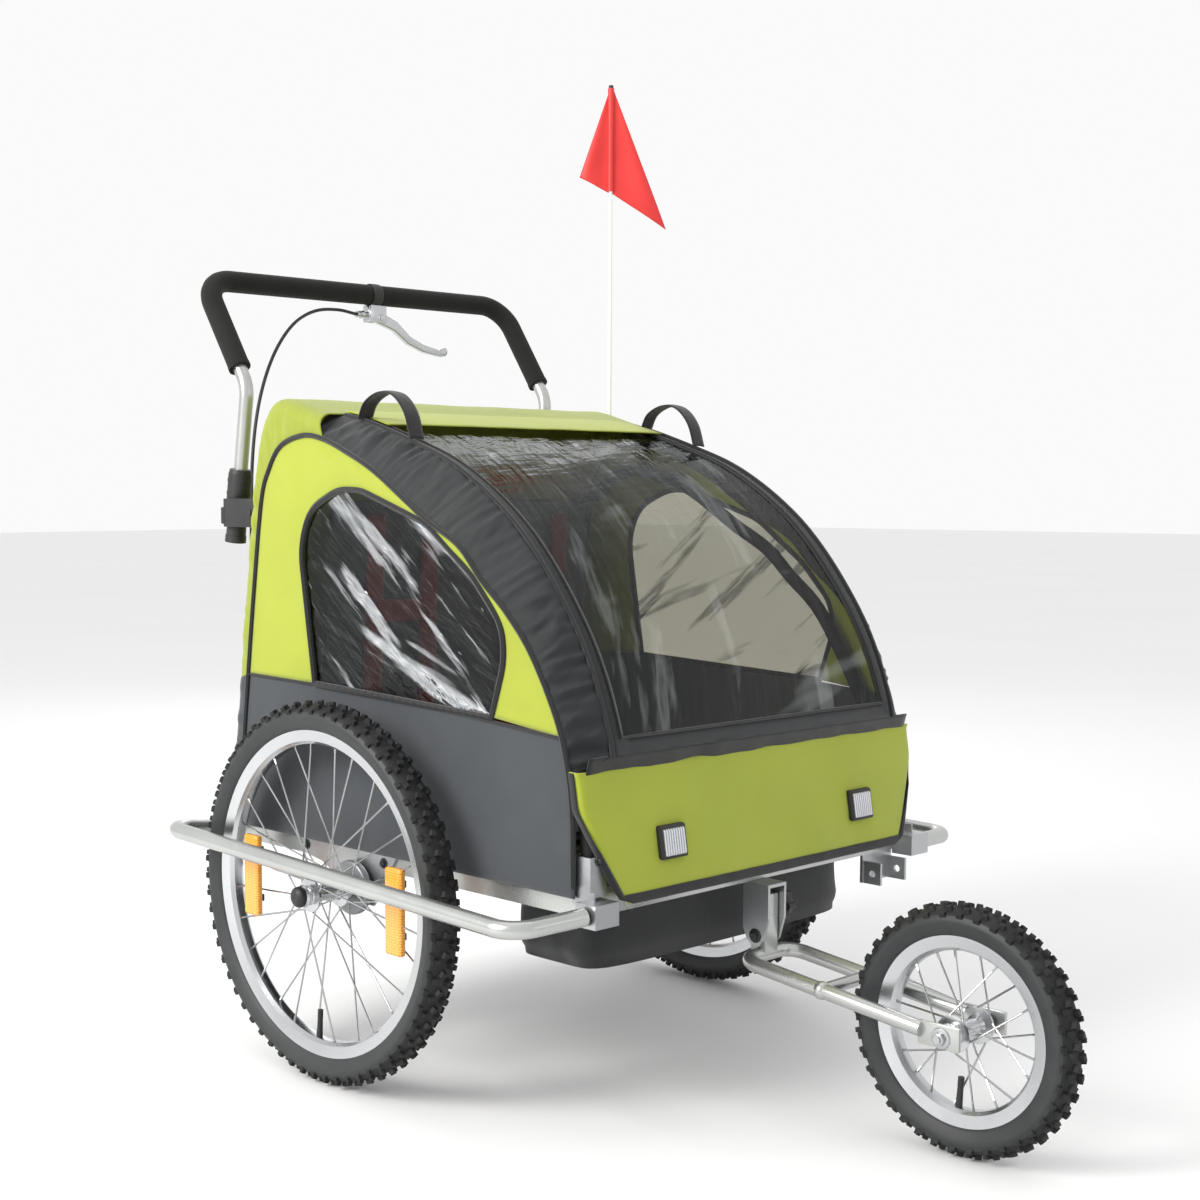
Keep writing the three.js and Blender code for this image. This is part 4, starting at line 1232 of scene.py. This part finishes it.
for word, side in SIDES:
    loop_line = Track([(34, 862), (22, 884), (-6, 896), (-34, 891), (-58, 868), (-72, 834)])

    def loop_strap(u, v):
        spot = loop_line(u)
        twist = 3 * math.sin(math.pi * u)
        return at(side * 274 - 12 + 24 * v + twist, spot.x, spot.y + 1.2 * math.sin(math.pi * v))

    strap = finished(f"{word}_loop_strap", cloth((40, 6), (0.14, 0.024), loop_strap), webbing, "webbing",
                     "root",
                     f"{word}_lift_loop")
    shrinks(thick(strap, 0.0018))


# ---- Flag, pole and socket ----
# A white glass-fibre rod stands in a plastic socket on the left rail. A red vinyl pennant hangs from a
# hemmed sleeve on its top, creased from being packed flat.

pole_white = Finish("white_rod", Roughness=0.35, Coat_Weight=0.3)
pole_white.looks(Base_Color=pole_white.mix(pole_white.noise(40, 4), (0.86, 0.85, 0.80), (0.74, 0.73, 0.68)))
rod = bmesh.new()
round_bar(rod, at(331, 165, 284), at(331, 165, 1401), 0.003, 16)
finished("flag_rod", rod, pole_white, "pole", "flag", "flag_pole")
tip = bmesh.new()
round_bar(tip, at(331, 165, 1385), at(331, 165, 1403.6), 0.0042, 16, 0.0036)
finished("flag_rod_cap", tip, moulded, "black_plastic", "flag")
dress("flag_pole_socket", moulded)

vinyl = Finish("red_vinyl", Roughness=0.45, Specular_IOR_Level=0.4, Transmission_Weight=0.0)
cloud = vinyl.noise(9, 4)
vinyl.looks(Base_Color=vinyl.mix(cloud, (0.50, 0.018, 0.018), (0.74, 0.045, 0.040)),
            Normal=vinyl.bump(vinyl.noise(46, 3), 0.001, 0.35))
heading = Vector((math.cos(-0.75), math.sin(-0.75), 0))
sideways = Vector((-heading.y, heading.x, 0))


def pennant(corners):
    """One triangular leaf of the flag, from the rod's line to its far corner, with soft packing folds."""
    def place(u, v):
        top, low, far = (Vector(c) for c in corners)
        rod_side = top.lerp(low, v)
        flat_spot = rod_side.lerp(top.lerp(far, v), u)
        wave = (5.0 * ripple(u * 1.8, v * 2.2, 0, 4) + 3.5 * math.sin(u * 5 + v * 2)) * u * v
        return at(331, 165, flat_spot.y) + heading * flat_spot.x / 1000 + sideways * wave / 1000
    return place


near_leaf = finished("flag_near_leaf",
                     cloth((24, 48), (0.09, 0.17), pennant(((0, 1403), (0, 1236), (-49, 1262)))),
                     vinyl, "flag_cloth", "flag", "flag", flat_over=80)
thick(near_leaf, 0.0007)
far_leaf = finished("flag_far_leaf",
                    cloth((30, 48), (0.09, 0.23), pennant(((2, 1402), (0, 1238), (88, 1181)))),
                    vinyl, "flag_cloth", "flag", flat_over=80)
thick(far_leaf, 0.0007)
sleeve = bmesh.new()
round_bar(sleeve, at(331, 165, 1240), at(331, 165, 1399), 0.0050, 20)
finished("flag_sleeve", sleeve, vinyl, "flag_cloth", "flag")


# ---- Push handle ----
# A bent aluminium tube in a closed-cell foam grip stands in two moulded sleeves on the side frames. The
# foam is slit along its length to slide on, and its ends are cut square.

foam = Finish("closed_cell_foam", Specular_IOR_Level=0.2, Sheen_Weight=0.05)
pores = foam.noise(950, 3, 0.6)
foam.looks(Base_Color=foam.mix(pores * 0.6 + foam.noise(25, 4) * 0.4, (0.006, 0.006, 0.0056),
                               (0.021, 0.021, 0.020)),
           Roughness=0.78 + 0.15 * pores, Normal=foam.bump(pores, 0.0005, 0.6))
LEG_FOOT, LEG_KNEE = (305, 702), (272, 915)
route = [at(-293, *LEG_FOOT), at(-293, *LEG_KNEE), at(-293, 378, 1072), at(293, 378, 1072),
         at(293, *LEG_KNEE),
         at(293, *LEG_FOOT)]
finished("handle_bar", swept(rounded(route, 0.045, 12), 0.010, 24), steel, "steel_tube", "handlebar",
         "handle_tube")
foam_route = [at(-293, 289.4, 940.7), *route[2:4], at(293, 289.4, 940.7)]
foam_stops = rounded(foam_route, 0.045, 14)
finished("handle_foam", swept(foam_stops, 0.0155, 32), foam, "foam", "handlebar", "foam_grip", flat_over=50)
rings = bmesh.new()
for end, inner in ((foam_stops[0], foam_stops[1]), (foam_stops[-1], foam_stops[-2])):
    round_bar(rings, end, end + (inner - end).normalized() * 0.006, 0.0160, 28)
finished("foam_end_rings", rings, foam, "foam", "handlebar")

tilt = (at(0, *LEG_KNEE) - at(0, *LEG_FOOT)).normalized()
for word, side in SIDES:
    foot = at(side * 293, *LEG_FOOT)
    barrel = bmesh.new()
    for low, high, radius, end_radius in ((-6, 4, 0.0150, 0.0150), (2, 48, 0.0140, 0.0140),
                                          (46, 56, 0.0150, 0.0172),
                                          (54, 92, 0.0172, 0.0172), (90, 98, 0.0172, 0.0155)):
        round_bar(barrel, foot + tilt * low / 1000, foot + tilt * high / 1000, radius, 32, end_radius)
    for low in (20, 62, 80):
        round_bar(barrel, foot + tilt * low / 1000, foot + tilt * (low + 4) / 1000, 0.0178, 32)
    x0, x1 = sorted((side * 312.5, side * 316))
    rounded_box(barrel, at(x0, 222, 718), at(x1, 302, 758), 0.0012)
    x0, x1 = sorted((side * 303, side * 316))
    rounded_box(barrel, at(x0, 296, 722), at(x1, 309, 746), 0.002)
    bolt(barrel, at(side * 316, 236, 738), (side, 0, 0), 0.0045, 0.003)
    bolt(barrel, foot + tilt * 0.073 + Vector((0, 0.0168, 0)), (0, 1, 0.15), 0.0045, 0.003)
    finished(f"{word}_sleeve_moulding", barrel, moulded, "black_plastic", "handlebar",
             f"{word}_handle_sleeve")


# ---- Brake lever, clamp and cable ----
# A cast clamp holds the lever's pin on the bar. The lever is forged alloy with a curled tip. Its cable runs
# in a black sleeve from the barrel adjuster, down behind the canopy, to the right wheel's drum.

band = bmesh.new()
turned(band, round_profile([(15.7, 11), (17.4, 11.5), (17.4, 28.5), (15.7, 29)]), at(0, 378, 1072), 40)
finished("lever_clamp_band", band, moulded, "black_plastic", "handlebar")
clamp = bmesh.new()
rounded_box(clamp, at(9, 369, 1049), at(31, 387, 1057), 0.002)
for y in (368.5, 383.8):
    rounded_box(clamp, at(8, y, 1030), at(40, y + 3.8, 1056), 0.0012)
rounded_box(clamp, at(6, 370, 1031), at(14, 386, 1055), 0.0016)
round_bar(clamp, at(-13, 378, 1041), at(8, 378, 1041), 0.0050, 20, 0.0042)
round_bar(clamp, at(-6, 378, 1041), at(0, 378, 1041), 0.0062, 12)
bolt(clamp, at(30, 368.4, 1037), (0, -1, 0), 0.0042, 0.003, 16)
finished("lever_clamp", clamp, alloy, "lever_alloy", "handlebar", "brake_clamp")

LEVER = [(22, 1030), (34, 1027), (60, 1019), (88, 1000), (120, 989), (158, 983.5), (168, 985), (172, 992),
         (168, 999), (162, 998), (156, 994), (122, 1001), (94, 1012), (66, 1034), (40, 1044), (24, 1044)]
blade = bmesh.new()
ring = [blade.verts.new(at(x, 373.2, z)) for x, z in LEVER]
face = blade.faces.new(ring)
made = bmesh.ops.extrude_face_region(blade, geom=[face])
moved = [v for v in made["geom"] if isinstance(v, bmesh.types.BMVert)]
bmesh.ops.translate(blade, verts=moved, vec=(0, 0.0096, 0))
bmesh.ops.recalc_face_normals(blade, faces=blade.faces)
bmesh.ops.bevel(blade, geom=[e for e in blade.edges], offset=0.0022, segments=3, profile=0.5, affect="EDGES",
                material=-1, clamp_overlap=True)
finished("lever_blade", blade, alloy, "lever_alloy", "brake_lever", "brake_lever", flat_over=50)

CABLE = [(-14, 378, 1041), (-50, 378, 1045), (-95, 373, 1040), (-140, 363, 1020), (-180, 350, 985),
         (-212, 338, 940), (-236, 328, 885), (-250, 322, 820), (-255, 320, 740), (-256, 320, 640),
         (-256, 321, 540), (-256, 322, 440), (-257, 322, 360), (-260, 318, 300), (-268, 300, 262),
         (-285, 260, 246), (-308, 205, 243), (-322, 145, 246), (-328, 90, 254), (-328, 37, 262)]
cable = finished("brake_cable_sleeve", swept(flowing([at(*p) for p in CABLE], 6), 0.0025, 12), moulded,
                 "black_plastic", None, "brake_cable")
at(-257, 322, 345)
at(-256, 322, 470)
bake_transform(cable)
